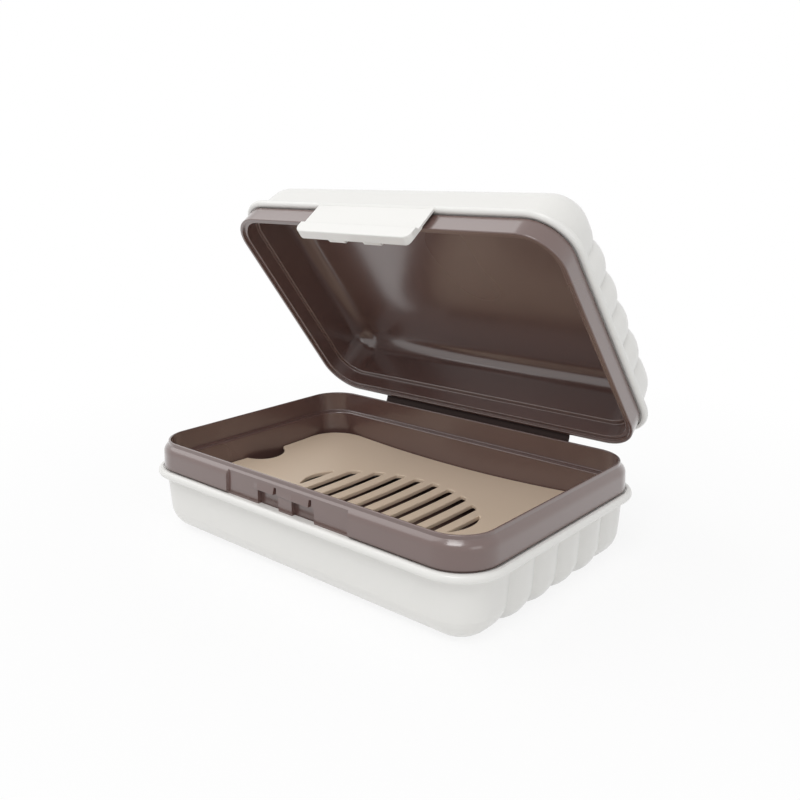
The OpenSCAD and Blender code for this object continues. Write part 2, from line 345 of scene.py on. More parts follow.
def stations(case: CaseSize, end_ys: Iterable[float], long_xs: Iterable[float],
             corner_steps: int = 14) -> list[Station]:
    """Places round the case, seen from above against the clock from the right end.

    Args:
        case: Sizes of the case.
        end_ys: Places along the short ends.
        long_xs: Places along the long sides.
        corner_steps: Steps in each rounded corner.

    Returns:
        The places in order.
    """
    hx, hy, r = case.half_l, case.half_w, case.corner_r
    ys = sorted({round(v, 4) for v in end_ys if abs(v) < hy - r} | {r - hy, hy - r})
    xs = sorted({round(v, 4) for v in long_xs if abs(v) < hx - r} | {r - hx, hx - r})
    found: list[Station] = []

    def corner(sx: int, sy: int, first: float) -> None:
        """Adds one rounded corner, without its two end points.

        Args:
            sx: 1 at the right end, -1 at the left.
            sy: 1 at the back, -1 at the front.
            first: Turn at which it starts, in degrees.
        """
        for k in range(1, corner_steps):
            a = math.radians(first + 90 * k / corner_steps)
            c, s = math.cos(a), math.sin(a)
            found.append(Station(sx * (hx - r) + r * c, sy * (hy - r) + r * s, c, s,
                                 Side.CORNER))

    found += [Station(hx, y, 1, 0, Side.RIGHT) for y in ys]
    corner(1, 1, 0)
    found += [Station(x, hy, 0, 1, Side.BACK) for x in reversed(xs)]
    corner(-1, 1, 90)
    found += [Station(-hx, y, -1, 0, Side.LEFT) for y in reversed(ys)]
    corner(-1, -1, 180)
    found += [Station(x, -hy, 0, -1, Side.FRONT) for x in xs]
    corner(1, -1, 270)
    return found


Carve = Callable[[float, float, Station], Point2]


def plain(offset: float, z: float, _place: Station) -> Point2:
    """A carve that changes nothing."""
    return offset, z


def keep_mesh(name: str, bm: bmesh.types.BMesh, outward: bool = False) -> bpy.types.Object:
    """Turns a built mesh into an object of the scene.

    Args:
        name: Name of the piece.
        bm: The mesh, which is freed.
        outward: Whether its faces are turned outwards first.

    Returns:
        The piece.
    """
    if outward:
        bmesh.ops.recalc_face_normals(bm, faces=bm.faces)
    mesh = bpy.data.meshes.new(name)
    bm.to_mesh(mesh)
    bm.free()
    obj = bpy.data.objects.new(name, mesh)
    bpy.context.scene.collection.objects.link(obj)
    return obj


def skin(bm: bmesh.types.BMesh, rings: Sequence[Sequence[bmesh.types.BMVert]],
         capped: bool = True) -> None:
    """Joins closed rings of vertices with faces, one after the other.

    Args:
        bm: The mesh.
        rings: The rings, each with as many vertices as the first.
        capped: Whether the first and last ring are filled with a flat face.
    """
    n = len(rings[0])
    for low, high in zip(rings, rings[1:]):
        for i in range(n):
            j = (i + 1) % n
            bm.faces.new((low[i], low[j], high[j], high[i]))
    if capped:
        bm.faces.new(tuple(reversed(rings[0])))
        bm.faces.new(tuple(rings[-1]))


def sweep(name: str, profile: Sequence[Point2], places: Sequence[Station],
          carve: Carve = plain) -> bpy.types.Object:
    """Carries a wall's profile round the case and closes both ends with flat faces.

    Args:
        name: Name of the piece.
        profile: Offsets and heights, from the middle of the underside to the inner floor.
        places: Places round the case.
        carve: Moves a profile point at a place.

    Returns:
        The piece, in millimetres.
    """
    bm = bmesh.new()
    skin(bm, [[bm.verts.new(p.at(*carve(o, z, p))) for p in places] for o, z in profile])
    return keep_mesh(name, bm)


def merge(name: str, parts: Sequence[bpy.types.Object]) -> bpy.types.Object:
    """Joins meshes into one new piece and removes the old ones.

    Args:
        name: Name of the new piece.
        parts: The meshes to join.

    Returns:
        The new piece.
    """
    bm = bmesh.new()
    for part in parts:
        bm.from_mesh(part.data)
        bpy.data.objects.remove(part)
    return keep_mesh(name, bm)


def lid_matrix(case: CaseSize, turned_over: bool) -> Matrix:
    """The lid's place, from the shut case or from its own frame.

    Args:
        case: Sizes of the case.
        turned_over: Whether the piece was drawn in the lid's own frame.

    Returns:
        The matrix, in millimetres.
    """
    y, z = case.pivot
    turn = Matrix.Rotation(-math.radians(case.lid_open), 4, "X")
    opened = Matrix.Translation((0, y, z)) @ turn @ Matrix.Translation((0, -y, -z))
    if not turned_over:
        return opened
    return opened @ Matrix.Translation((0, 0, case.shut_h)) @ Matrix.Scale(-1, 4, (0, 0, 1))


def half_matrix(case: CaseSize, half: Half) -> Matrix:
    """The place of a piece that was drawn in its half's own frame, in millimetres."""
    return Matrix.Identity(4) if half is Half.BASE else lid_matrix(case, turned_over=True)


def finish_mesh(obj: bpy.types.Object, place: Matrix | None = None, bevel: float = 0.0,
                sharp_deg: float = 38.0) -> bpy.types.Object:
    """Puts a mesh in its place, in metres, and shades it.

    Args:
        obj: The piece, in millimetres.
        place: Where it goes, in millimetres.
        bevel: Rounding of its sharp edges, in millimetres.
        sharp_deg: Angle above which an edge stays sharp.

    Returns:
        The piece.
    """
    matrix = Matrix.Scale(MM, 4) @ (place or Matrix.Identity(4))
    obj.data.transform(matrix)
    if matrix.determinant() < 0:
        obj.data.flip_normals()
    obj.data.polygons.foreach_set("use_smooth", [True] * len(obj.data.polygons))
    if bevel > 0:
        rounding = obj.modifiers.new("edge rounding", "BEVEL")
        rounding.width = bevel * MM
        rounding.segments = 3
        rounding.limit_method = "ANGLE"
        rounding.angle_limit = math.radians(sharp_deg)
    else:
        obj.data.set_sharp_from_angle(angle=math.radians(sharp_deg))
    normals = obj.modifiers.new("face weighted normals", "WEIGHTED_NORMAL")
    normals.keep_sharp = True
    normals.weight = 60
    return obj


# ----------------------------------------------------------------------- node helpers


def add(tree: bpy.types.NodeTree, kind: str, **values: object) -> bpy.types.Node:
    """Adds a node and sets its properties.

    Args:
        tree: The tree.
        kind: The node's type.
        **values: Properties of the node.

    Returns:
        The node.
    """
    node = tree.nodes.new(kind)
    for key, value in values.items():
        setattr(node, key, value)
    return node


def math_node(tree: bpy.types.NodeTree, operation: str,
              *inputs: object) -> bpy.types.NodeSocket:
    """Adds a Math node.

    Args:
        tree: The tree.
        operation: The node's operation.
        *inputs: A socket or a number for each input.

    Returns:
        The node's output.
    """
    node = add(tree, "ShaderNodeMath", operation=operation)
    for socket, value in zip(node.inputs, inputs):
        if isinstance(value, bpy.types.NodeSocket):
            tree.links.new(value, socket)
        else:
            socket.default_value = value
    return node.outputs[0]


def socket(tree: bpy.types.NodeTree, name: str, kind: str, into: bool = True,
           value: object = None) -> bpy.types.NodeTreeInterfaceSocket:
    """Gives a node group a named input or output.

    Args:
        tree: The group.
        name: The socket's name.
        kind: The socket's type.
        into: Whether it is an input.
        value: Its default value.

    Returns:
        The interface socket.
    """
    item = tree.interface.new_socket(name=name, in_out="INPUT" if into else "OUTPUT",
                                     socket_type=kind)
    if value is not None:
        item.default_value = value
    return item


def geometry_tree(name: str, sizes: dict[str, float],
                  ) -> tuple[bpy.types.NodeTree, bpy.types.Node, bpy.types.Node]:
    """Starts a Geometry Nodes tree that takes a mesh, named sizes and a material.

    Args:
        name: The tree's name.
        sizes: Its named inputs and their values. A whole number makes a whole input.

    Returns:
        The tree, its input node and its output node.
    """
    tree = bpy.data.node_groups.new(name, "GeometryNodeTree")
    socket(tree, "Geometry", "NodeSocketGeometry")
    for key, value in sizes.items():
        kind = "NodeSocketInt" if isinstance(value, int) else "NodeSocketFloat"
        socket(tree, key, kind, value=value)
    socket(tree, "Material", "NodeSocketMaterial")
    socket(tree, "Geometry", "NodeSocketGeometry", into=False)
    return tree, add(tree, "NodeGroupInput"), add(tree, "NodeGroupOutput")


def seen_directly(tree: bpy.types.NodeTree) -> bpy.types.NodeSocket:
    """A mask of the rays that the camera sees, straight, mirrored or through a piece.

    Args:
        tree: A material's or the world's tree.

    Returns:
        The mask's output, 0 or 1.
    """
    rays = add(tree, "ShaderNodeLightPath")
    return math_node(tree, "MAXIMUM", rays.outputs["Is Camera Ray"], math_node(
        tree, "MAXIMUM", rays.outputs["Is Glossy Ray"], rays.outputs["Is Transmission Ray"]))


def baked(obj: bpy.types.Object, tree: bpy.types.NodeTree,
          values: dict[str, object]) -> None:
    """Runs a Geometry Nodes tree on a piece and keeps its result as a plain mesh.

    Args:
        obj: The piece.
        tree: The tree.
        values: Values of the tree's named inputs.
    """
    mod = obj.modifiers.new(tree.name, "NODES")
    mod.node_group = tree
    names = {item.name: item.identifier for item in tree.interface.items_tree
             if item.item_type == "SOCKET" and item.in_out == "INPUT"}
    for key, value in values.items():
        mod[names[key]] = value
    obj.update_tag()
    graph = bpy.context.evaluated_depsgraph_get()
    graph.update()
    mesh = bpy.data.meshes.new_from_object(obj.evaluated_get(graph), depsgraph=graph)
    obj.modifiers.remove(mod)
    obj.data = mesh


# --------------------------------------------------------------------------- finishes


def moulded_group() -> bpy.types.NodeTree:
    """Builds the shared effect of moulded plastic: faint swell, fine grain, uneven sheen.

    Returns:
        The group. Height is for a Bump node, Tone and Sheen are masks from 0 to 1.
    """
    tree = bpy.data.node_groups.new("moulded plastic", "ShaderNodeTree")
    socket(tree, "Swell Scale", "NodeSocketFloat", value=40.0)
    socket(tree, "Grain Scale", "NodeSocketFloat", value=2600.0)
    socket(tree, "Grain", "NodeSocketFloat", value=0.3)
    socket(tree, "Sheen Scale", "NodeSocketFloat", value=22.0)
    socket(tree, "Height", "NodeSocketFloat", into=False)
    socket(tree, "Tone", "NodeSocketFloat", into=False)
    socket(tree, "Sheen", "NodeSocketFloat", into=False)
    enter, leave = add(tree, "NodeGroupInput"), add(tree, "NodeGroupOutput")
    place = add(tree, "ShaderNodeTexCoord")

    def noise(scale: str, detail: float, rough: float) -> bpy.types.NodeSocket:
        """Adds a noise texture on Object coordinates.

        Args:
            scale: The group's input that sets its scale.
            detail: How many finer layers it has.
            rough: How strong the finer layers are.

        Returns:
            The texture's output, from 0 to 1.
        """
        node = add(tree, "ShaderNodeTexNoise")
        node.inputs["Detail"].default_value = detail
        node.inputs["Roughness"].default_value = rough
        tree.links.new(place.outputs["Object"], node.inputs["Vector"])
        tree.links.new(enter.outputs[scale], node.inputs["Scale"])
        return node.outputs["Fac"]

    swell = noise("Swell Scale", detail=2.0, rough=0.4)
    grain = noise("Grain Scale", detail=3.0, rough=0.6)
    sheen = noise("Sheen Scale", detail=1.0, rough=0.4)
    fine = math_node(tree, "MULTIPLY", grain, enter.outputs["Grain"])
    tree.links.new(math_node(tree, "ADD", swell, fine), leave.inputs["Height"])
    tree.links.new(swell, leave.inputs["Tone"])
    tree.links.new(sheen, leave.inputs["Sheen"])
    return tree


@dataclass(frozen=True)
class PlasticFinish:
    """A moulded plastic: its colour and how smooth its mould was."""

    name: str
    light: tuple[float, float, float]
    dark: tuple[float, float, float]
    rough_low: float
    rough_high: float
    grain: float
    bump: float
    specular: float = 0.5
    coat: float = 0.0
    coat_rough: float = 0.08
    coat_ior: float = 1.5
    swell_scale: float = 40.0
    grain_scale: float = 2600.0

    def material(self, group: bpy.types.NodeTree) -> bpy.types.Material:
        """Builds the material.

        Args:
            group: The shared moulded plastic group.

        Returns:
            The material.
        """
        mat = bpy.data.materials.new(self.name)
        mat.use_nodes = True
        tree = mat.node_tree
        tree.nodes.clear()
        out = add(tree, "ShaderNodeOutputMaterial")
        body = add(tree, "ShaderNodeBsdfPrincipled")
        tree.links.new(body.outputs["BSDF"], out.inputs["Surface"])
        effect = add(tree, "ShaderNodeGroup", node_tree=group)
        effect.inputs["Swell Scale"].default_value = self.swell_scale
        effect.inputs["Grain Scale"].default_value = self.grain_scale
        effect.inputs["Grain"].default_value = self.grain
        tint = add(tree, "ShaderNodeMix", data_type="RGBA")
        tint.inputs["A"].default_value = (*self.dark, 1)
        tint.inputs["B"].default_value = (*self.light, 1)
        tree.links.new(effect.outputs["Tone"], tint.inputs["Factor"])
        tree.links.new(tint.outputs["Result"], body.inputs["Base Color"])
        rough = add(tree, "ShaderNodeMapRange")
        rough.inputs["To Min"].default_value = self.rough_low
        rough.inputs["To Max"].default_value = self.rough_high
        tree.links.new(effect.outputs["Sheen"], rough.inputs["Value"])
        tree.links.new(rough.outputs["Result"], body.inputs["Roughness"])
        bump = add(tree, "ShaderNodeBump")
        bump.inputs["Strength"].default_value = 1.0
        bump.inputs["Distance"].default_value = self.bump * MM
        tree.links.new(effect.outputs["Height"], bump.inputs["Height"])
        tree.links.new(bump.outputs["Normal"], body.inputs["Normal"])
        body.inputs["Specular IOR Level"].default_value = self.specular
        body.inputs["Coat Weight"].default_value = self.coat
        body.inputs["Coat Roughness"].default_value = self.coat_rough
        body.inputs["Coat IOR"].default_value = self.coat_ior
        return mat


@dataclass(frozen=True)
class Finishes:
    """The materials of the box."""

    shell: bpy.types.Material
    liner: bpy.types.Material
    strap: bpy.types.Material
    tray: bpy.types.Material

    @classmethod
    def build(cls) -> "Finishes":
        """Builds every material of the box.

        Returns:
            The finishes.
        """
        group = moulded_group()
        shell = PlasticFinish(
            "white shell plastic", light=(0.83, 0.822, 0.795), dark=(0.815, 0.807, 0.78),
            rough_low=0.3, rough_high=0.4, grain=0.25, bump=0.008, coat=0.35)
        liner = PlasticFinish(
            "dark liner plastic", light=(0.132, 0.073, 0.063), dark=(0.121, 0.065, 0.056),
            rough_low=0.25, rough_high=0.32, grain=0.2, bump=0.006, coat=1.0, coat_rough=0.17,
            coat_ior=1.7)
        # The strap is the same plastic as the liner, but its colour is darkened far below the
        # liner's: painted shade for the shadow that lies on it behind the rims.
        strap = PlasticFinish(
            "strap plastic darkened for painted shade", light=(0.045, 0.026, 0.023), dark=(0.04, 0.023, 0.02),
            rough_low=0.5, rough_high=0.6, grain=0.3, bump=0.01, specular=0.2)
        tray = PlasticFinish(
            "beige tray plastic", light=(0.78, 0.63, 0.485), dark=(0.76, 0.615, 0.47),
            rough_low=0.34, rough_high=0.44, grain=0.4, bump=0.01)
        return cls(*(plastic.material(group) for plastic in (shell, liner, strap, tray)))


# --------------------------------------------------------------------------- grip ribs


@dataclass(frozen=True)
class GripRibs:
    """Rounded lobes down each short end of a shell, in millimetres.

    They start below the bead with a rounded top. Under low_h they sink to low_share of their
    strength, and fade out on the flat face. The levels and steps say where the wall has points.
    """

    count: int = 4
    pitch: float = 10.95
    lobe_r: float = 11.0
    stand_out: float = 0.6
    start: float = 3.2
    fade: float = 1.2
    top_round: float = 0.9
    top_steps: tuple[float, ...] = (0.9, 0.6, 0.35, 0.15, 0.0)
    wall_levels: tuple[float, ...] = (6.0, 8.5, 11.0)
    wall_zone: float = 4.0
    low_share: float = 0.75
    low_h: float = 0.4
    lobe_steps: int = 10
    flank_steps: int = 4
    flank_clear: float = 0.6

    @property
    def flank_end(self) -> float:
        """Place at which the outer flank of the last groove meets the wall smoothly."""
        depth = self.lobe_r - math.sqrt(self.lobe_r ** 2 - self.pitch ** 2 / 4) - self.stand_out
        return self.count * self.pitch / 2 + math.sqrt(depth * (2 * self.lobe_r - depth))

    @property
    def inputs(self) -> dict[str, float]:
        """The sizes that the tree takes as named inputs."""
        return {"Count": self.count, "Pitch": self.pitch, "Lobe Radius": self.lobe_r,
                "Stand Out": self.stand_out, "Flank End": self.flank_end}

    def end_places(self) -> list[float]:
        """Lists the places along an end at which the lobes need points.

        Returns:
            The places, from the middle of the end.
        """
        step = self.pitch / self.lobe_steps
        last = self.lobe_steps // 2 * self.count
        flank = self.flank_end - self.count * self.pitch / 2
        outer = [self.flank_end - flank * k / self.flank_steps for k in range(self.flank_steps)]
        outer.append(self.flank_end + self.flank_clear)
        return [i * step for i in range(-last, last + 1)] + outer + [-v for v in outer]

    def levels(self, h: float) -> list[float]:
        """Heights at which the wall of a shell h high needs points."""
        return [h - self.start - drop for drop in self.top_steps] + list(self.wall_levels)

    def tree(self) -> bpy.types.NodeTree:
        """Builds the Geometry Nodes tree that raises lobes and sinks grooves.

        Returns:
            The tree. It reads the point attributes rib_way and rib_mask.
        """
        tree, enter, leave = geometry_tree("grip ribs", self.inputs)
        link, calc = tree.links.new, partial(math_node, tree)
        place = add(tree, "GeometryNodeInputPosition")
        axes = add(tree, "ShaderNodeSeparateXYZ")
        link(place.outputs[0], axes.inputs[0])
        along = calc("ABSOLUTE", axes.outputs["Y"])
        pitch, radius = enter.outputs["Pitch"], enter.outputs["Lobe Radius"]
        count = enter.outputs["Count"]

        def arc(away: bpy.types.NodeSocket) -> bpy.types.NodeSocket:
            """Follows a lobe's circle.

            Args:
                away: Distance from its crest.

            Returns:
                The offset from the crest there, 0 or less.
            """
            span = calc("SUBTRACT", calc("MULTIPLY", radius, radius),
                        calc("MULTIPLY", away, away))
            return calc("SUBTRACT", calc("SQRT", span), radius)

        # an even count has a groove in the middle, an odd one a lobe
        shift = calc("MULTIPLY", calc("SUBTRACT", 1.0, calc("MODULO", count, 2.0)), 0.5)
        nearest = calc("ROUND", calc("SUBTRACT", calc("DIVIDE", along, pitch), shift))
        crest = calc("MULTIPLY", calc("ADD", shift, nearest), pitch)
        raised = calc("ADD", enter.outputs["Stand Out"], arc(calc("SUBTRACT", along, crest)))
        flank = arc(calc("MAXIMUM", calc("SUBTRACT", enter.outputs["Flank End"], along), 0.0))
        beyond = calc("GREATER_THAN", along, calc("MULTIPLY", calc("MULTIPLY", count, pitch), 0.5))
        chosen = calc("ADD", calc("MULTIPLY", flank, beyond),
                      calc("MULTIPLY", raised, calc("SUBTRACT", 1.0, beyond)))
        way = add(tree, "GeometryNodeInputNamedAttribute", data_type="FLOAT_VECTOR")
        way.inputs["Name"].default_value = "rib_way"
        mask = add(tree, "GeometryNodeInputNamedAttribute", data_type="FLOAT")
        mask.inputs["Name"].default_value = "rib_mask"
        push = add(tree, "ShaderNodeVectorMath", operation="SCALE")
        link(way.outputs["Attribute"], push.inputs[0])
        link(calc("MULTIPLY", chosen, mask.outputs["Attribute"]), push.inputs["Scale"])
        moved = add(tree, "ShaderNodeVectorMath", operation="ADD")
        link(place.outputs[0], moved.inputs[0])
        link(push.outputs[0], moved.inputs[1])
        # nothing goes below the flat face
        floor = add(tree, "ShaderNodeVectorMath", operation="MAXIMUM")
        link(moved.outputs[0], floor.inputs[0])
        floor.inputs[1].default_value = (-1e4, -1e4, 0.0)
        put = add(tree, "GeometryNodeSetPosition")
        link(enter.outputs["Geometry"], put.inputs["Geometry"])
        link(floor.outputs[0], put.inputs["Position"])
        real = add(tree, "GeometryNodeRealizeInstances")
        link(put.outputs[0], real.inputs[0])
        finish = add(tree, "GeometryNodeSetMaterial")
        link(real.outputs[0], finish.inputs["Geometry"])
        link(enter.outputs["Material"], finish.inputs["Material"])
        link(finish.outputs[0], leave.inputs[0])
        return tree

    def mark(self, obj: bpy.types.Object, case: CaseSize, h: float,
             profile: Sequence[Point2], places: Sequence[Station]) -> None:
        """Writes the way and the strength of the ribs on a shell's points.

        Args:
            obj: The swept shell.
            case: Sizes of the case.
            h: Height of the shell.
            profile: The shell's profile.
            places: Places round the case, in the order of the sweep.
        """
        obj.data.attributes.new("rib_way", "FLOAT_VECTOR", "POINT")
        obj.data.attributes.new("rib_mask", "FLOAT", "POINT")
        ways: list[float] = []
        masks: list[float] = []
        low_x = case.wall_at(h, case.edge_r) - case.edge_r / math.cos(math.radians(case.draft))
        for k, (o, z) in enumerate(profile):
            before, after = profile[max(k - 1, 0)], profile[min(k + 1, len(profile) - 1)]
            run = Vector((after[0] - before[0], after[1] - before[1])).normalized()
            out, up = run.y, -run.x
            strength = self.strength(o, z, k, profile, h, low_x)
            for p in places:
                ways += (out * p.out_x, out * p.out_y, up)
                masks.append(strength if p.side in (Side.RIGHT, Side.LEFT) else 0.0)
        obj.data.attributes["rib_way"].data.foreach_set("vector", ways)
        obj.data.attributes["rib_mask"].data.foreach_set("value", masks)

    def strength(self, o: float, z: float, k: int, profile: Sequence[Point2], h: float,
                 low_x: float) -> float:
        """How strong the ribs are at a profile point.

        Args:
            o: The point's offset.
            z: Its height.
            k: Its place in the profile.
            profile: The profile.
            h: Height of the shell.
            low_x: Offset at which the bottom edge meets the flat face.

        Returns:
            From 0 to 1.
        """
        outside = k <= max(range(len(profile)), key=lambda i: profile[i][0])
        top = h - self.start
        if not outside or z >= top:
            return 0.0
        if z > top - self.top_round:
            return math.sqrt(max(0.0, 1 - ((z - top + self.top_round) / self.top_round) ** 2))
        if o < low_x:
            t = max(0.0, 1 - (low_x - o) / self.fade)
            return self.low_share * t * t * (3 - 2 * t)
        if z < self.low_h:
            return self.low_share + (1 - self.low_share) * z / self.low_h
        return 1.0


# ---------------------------------------------------------------------------- pieces


@dataclass(frozen=True)
class SnapTabSize:
    """Sizes of the snap tab and of what it snaps into, in millimetres.

    Over each pocket in the base's band a sloped hood stands in the recess, with a short slit
    at its right end.
    """

    width: float = 43.2
    out: float = 1.8
    gap: float = 0.3
    low_in: float = 0.3
    end_gap: float = 0.7
    thumb_out: float = 1.0
    thumb_h: float = 4.3
    corner_r: float = 2.4
    hook_pitch: float = 13.3
    hook_w: float = 6.3
    hook_h: float = 2.3
    hook_in: float = 1.3
    hook_up: float = 0.3
    recess_gap: float = 1.4
    recess_d: float = 0.85
    pocket_gap: float = 0.65
    catch_gap: float = 0.3
    pocket_wall: float = 1.6
    recess_ramp: float = 0.1
    hood: float = 0.45
    hood_in: float = 1.7
    hood_tip: float = 0.1
    slit_up: tuple[float, float] = (0.5, 1.9)
    slit_in: float = 1.3
    slit_half: float = 0.4
    slit_d: float = 0.7
    side_thin: float = 0.55
    flat_end: float = 0.02
    step_round: float = 0.2
    end_round: float = 0.3
    thumb_low_round: float = 0.35
    thumb_round: float = 0.5
    thumb_root_round: float = 0.45
    hook_root: float = 0.3
    hook_low_round: float = 0.2
    hook_top_round: float = 0.25
    edge_bevel: float = 0.18

    @property
    def recess_half(self) -> float:
        """Half the width of the recess in the base's band."""
        return self.width / 2 + self.recess_gap

    @property
    def pocket_half(self) -> float:
        """Half the width of a pocket."""
        return self.hook_w / 2 + self.pocket_gap + self.catch_gap

    @property
    def pad_half(self) -> float:
        """Half the width of the thick wall behind both pockets."""
        return self.hook_pitch / 2 + self.pocket_half + self.pocket_wall

    @property
    def pocket_d(self) -> float:
        """Depth of a pocket from the band's face."""
        return self.low_in + self.hook_in + self.pocket_gap

    def pocket_top(self, case: CaseSize) -> float:
        """Height of a pocket's upper edge."""
        return case.base_h + self.end_gap + self.hook_up + self.hook_h + self.catch_gap

    def slit(self, case: CaseSize) -> Point2:
        """Heights between which each pocket's slit lies."""
        return self.pocket_top(case) + self.slit_up[0], self.pocket_top(case) + self.slit_up[1]


@dataclass
class Shell:
    """A white outer shell with a bead round its opening and ribs on its short ends.

    Its long sides have points at long_places. The bead turns square within tab_step of the
    snap tab's side, and its points further out than top_in are then on its flat top.
    """

    case: CaseSize
    half: Half
    ribs: GripRibs = field(default_factory=GripRibs)
    tab: SnapTabSize = field(default_factory=SnapTabSize)
    top_in: float = 0.5
    long_places: tuple[float, ...] = (12.0, 24.0, 36.0)
    tab_step: float = 0.12

    def profile(self) -> list[Point2]:
        """Draws the section of the shell's wall.

        Returns:
            Offsets and heights, from the underside to the inner floor.
        """
        case = self.case
        h, floor = case.height(self.half), case.shell_floor
        under, seat = h - case.bead_h, h - case.seat_drop
        corners = [
            *reversed(case.flat(0)), (case.flat_from, 0, 0),
            (case.wall_at(h, 0), 0, case.edge_r),
            (case.wall_at(h, under), under, case.bead_fillet),
            (case.bead_out, under, case.bead_r), (case.bead_out, h, case.bead_r),
            (case.seam, h, case.seam_round), (case.seam, seat, 0),
            (case.shell_in_at(h, seat), seat, 0),
            (case.shell_in_at(h, floor), floor, case.edge_r - case.shell_wall),
            (case.inner_flat_from, floor, 0), case.flat(floor)[-1],
        ]
        return with_levels(rounded(corners, step_deg=10.0), self.ribs.levels(h),
                           lambda p, q: p[0] > -self.ribs.wall_zone and q[1] > p[1])

    def squared(self, o: float, z: float, place: Station) -> Point2:
        """Squares the bead off where the snap tab grows out of it.

        Args:
            o: Offset of the point.
            z: Height of the point.
            place: Where it is on the case.

        Returns:
            The point's new offset and height.
        """
        h = self.case.height(self.half)
        nose, bead, out = self.case.bead_h / 2, self.case.bead_out, self.tab.out
        centre = (bead - nose, h - nose)
        beside = place.side is not Side.FRONT or abs(place.x) > self.tab.width / 2 + SLACK
        under = z <= h - nose + 2 * SLACK or o <= 4 * SLACK
        if self.half is Half.BASE or beside or under:
            return o, z
        # an eighth of a turn goes up the new face, the next one along the new top
        eighths = math.degrees(math.atan2(z - centre[1], o - centre[0])) / 45
        if eighths <= 1:
            return bead + (out - bead) * eighths, centre[1] + nose * eighths
        return out + (centre[0] - out) * min(1.0, eighths - 1), h if o > self.top_in else z

    def build(self, tree: bpy.types.NodeTree, finish: bpy.types.Material) -> bpy.types.Object:
        """Makes the shell.

        Args:
            tree: The Geometry Nodes tree of the ribs.
            finish: The shell's material.

        Returns:
            The finished piece.
        """
        case = self.case
        edge = self.tab.width / 2
        xs = [*self.long_places, edge, edge + self.tab_step]
        places = stations(case, self.ribs.end_places(), [0.0, *xs, *(-x for x in xs)])
        profile = self.profile()
        obj = sweep(f"{self.half.value}_shell_moulding", profile, places, self.squared)
        self.ribs.mark(obj, case, case.height(self.half), profile, places)
        baked(obj, tree, {**self.ribs.inputs, "Material": finish})
        return finish_mesh(obj, half_matrix(case, self.half))


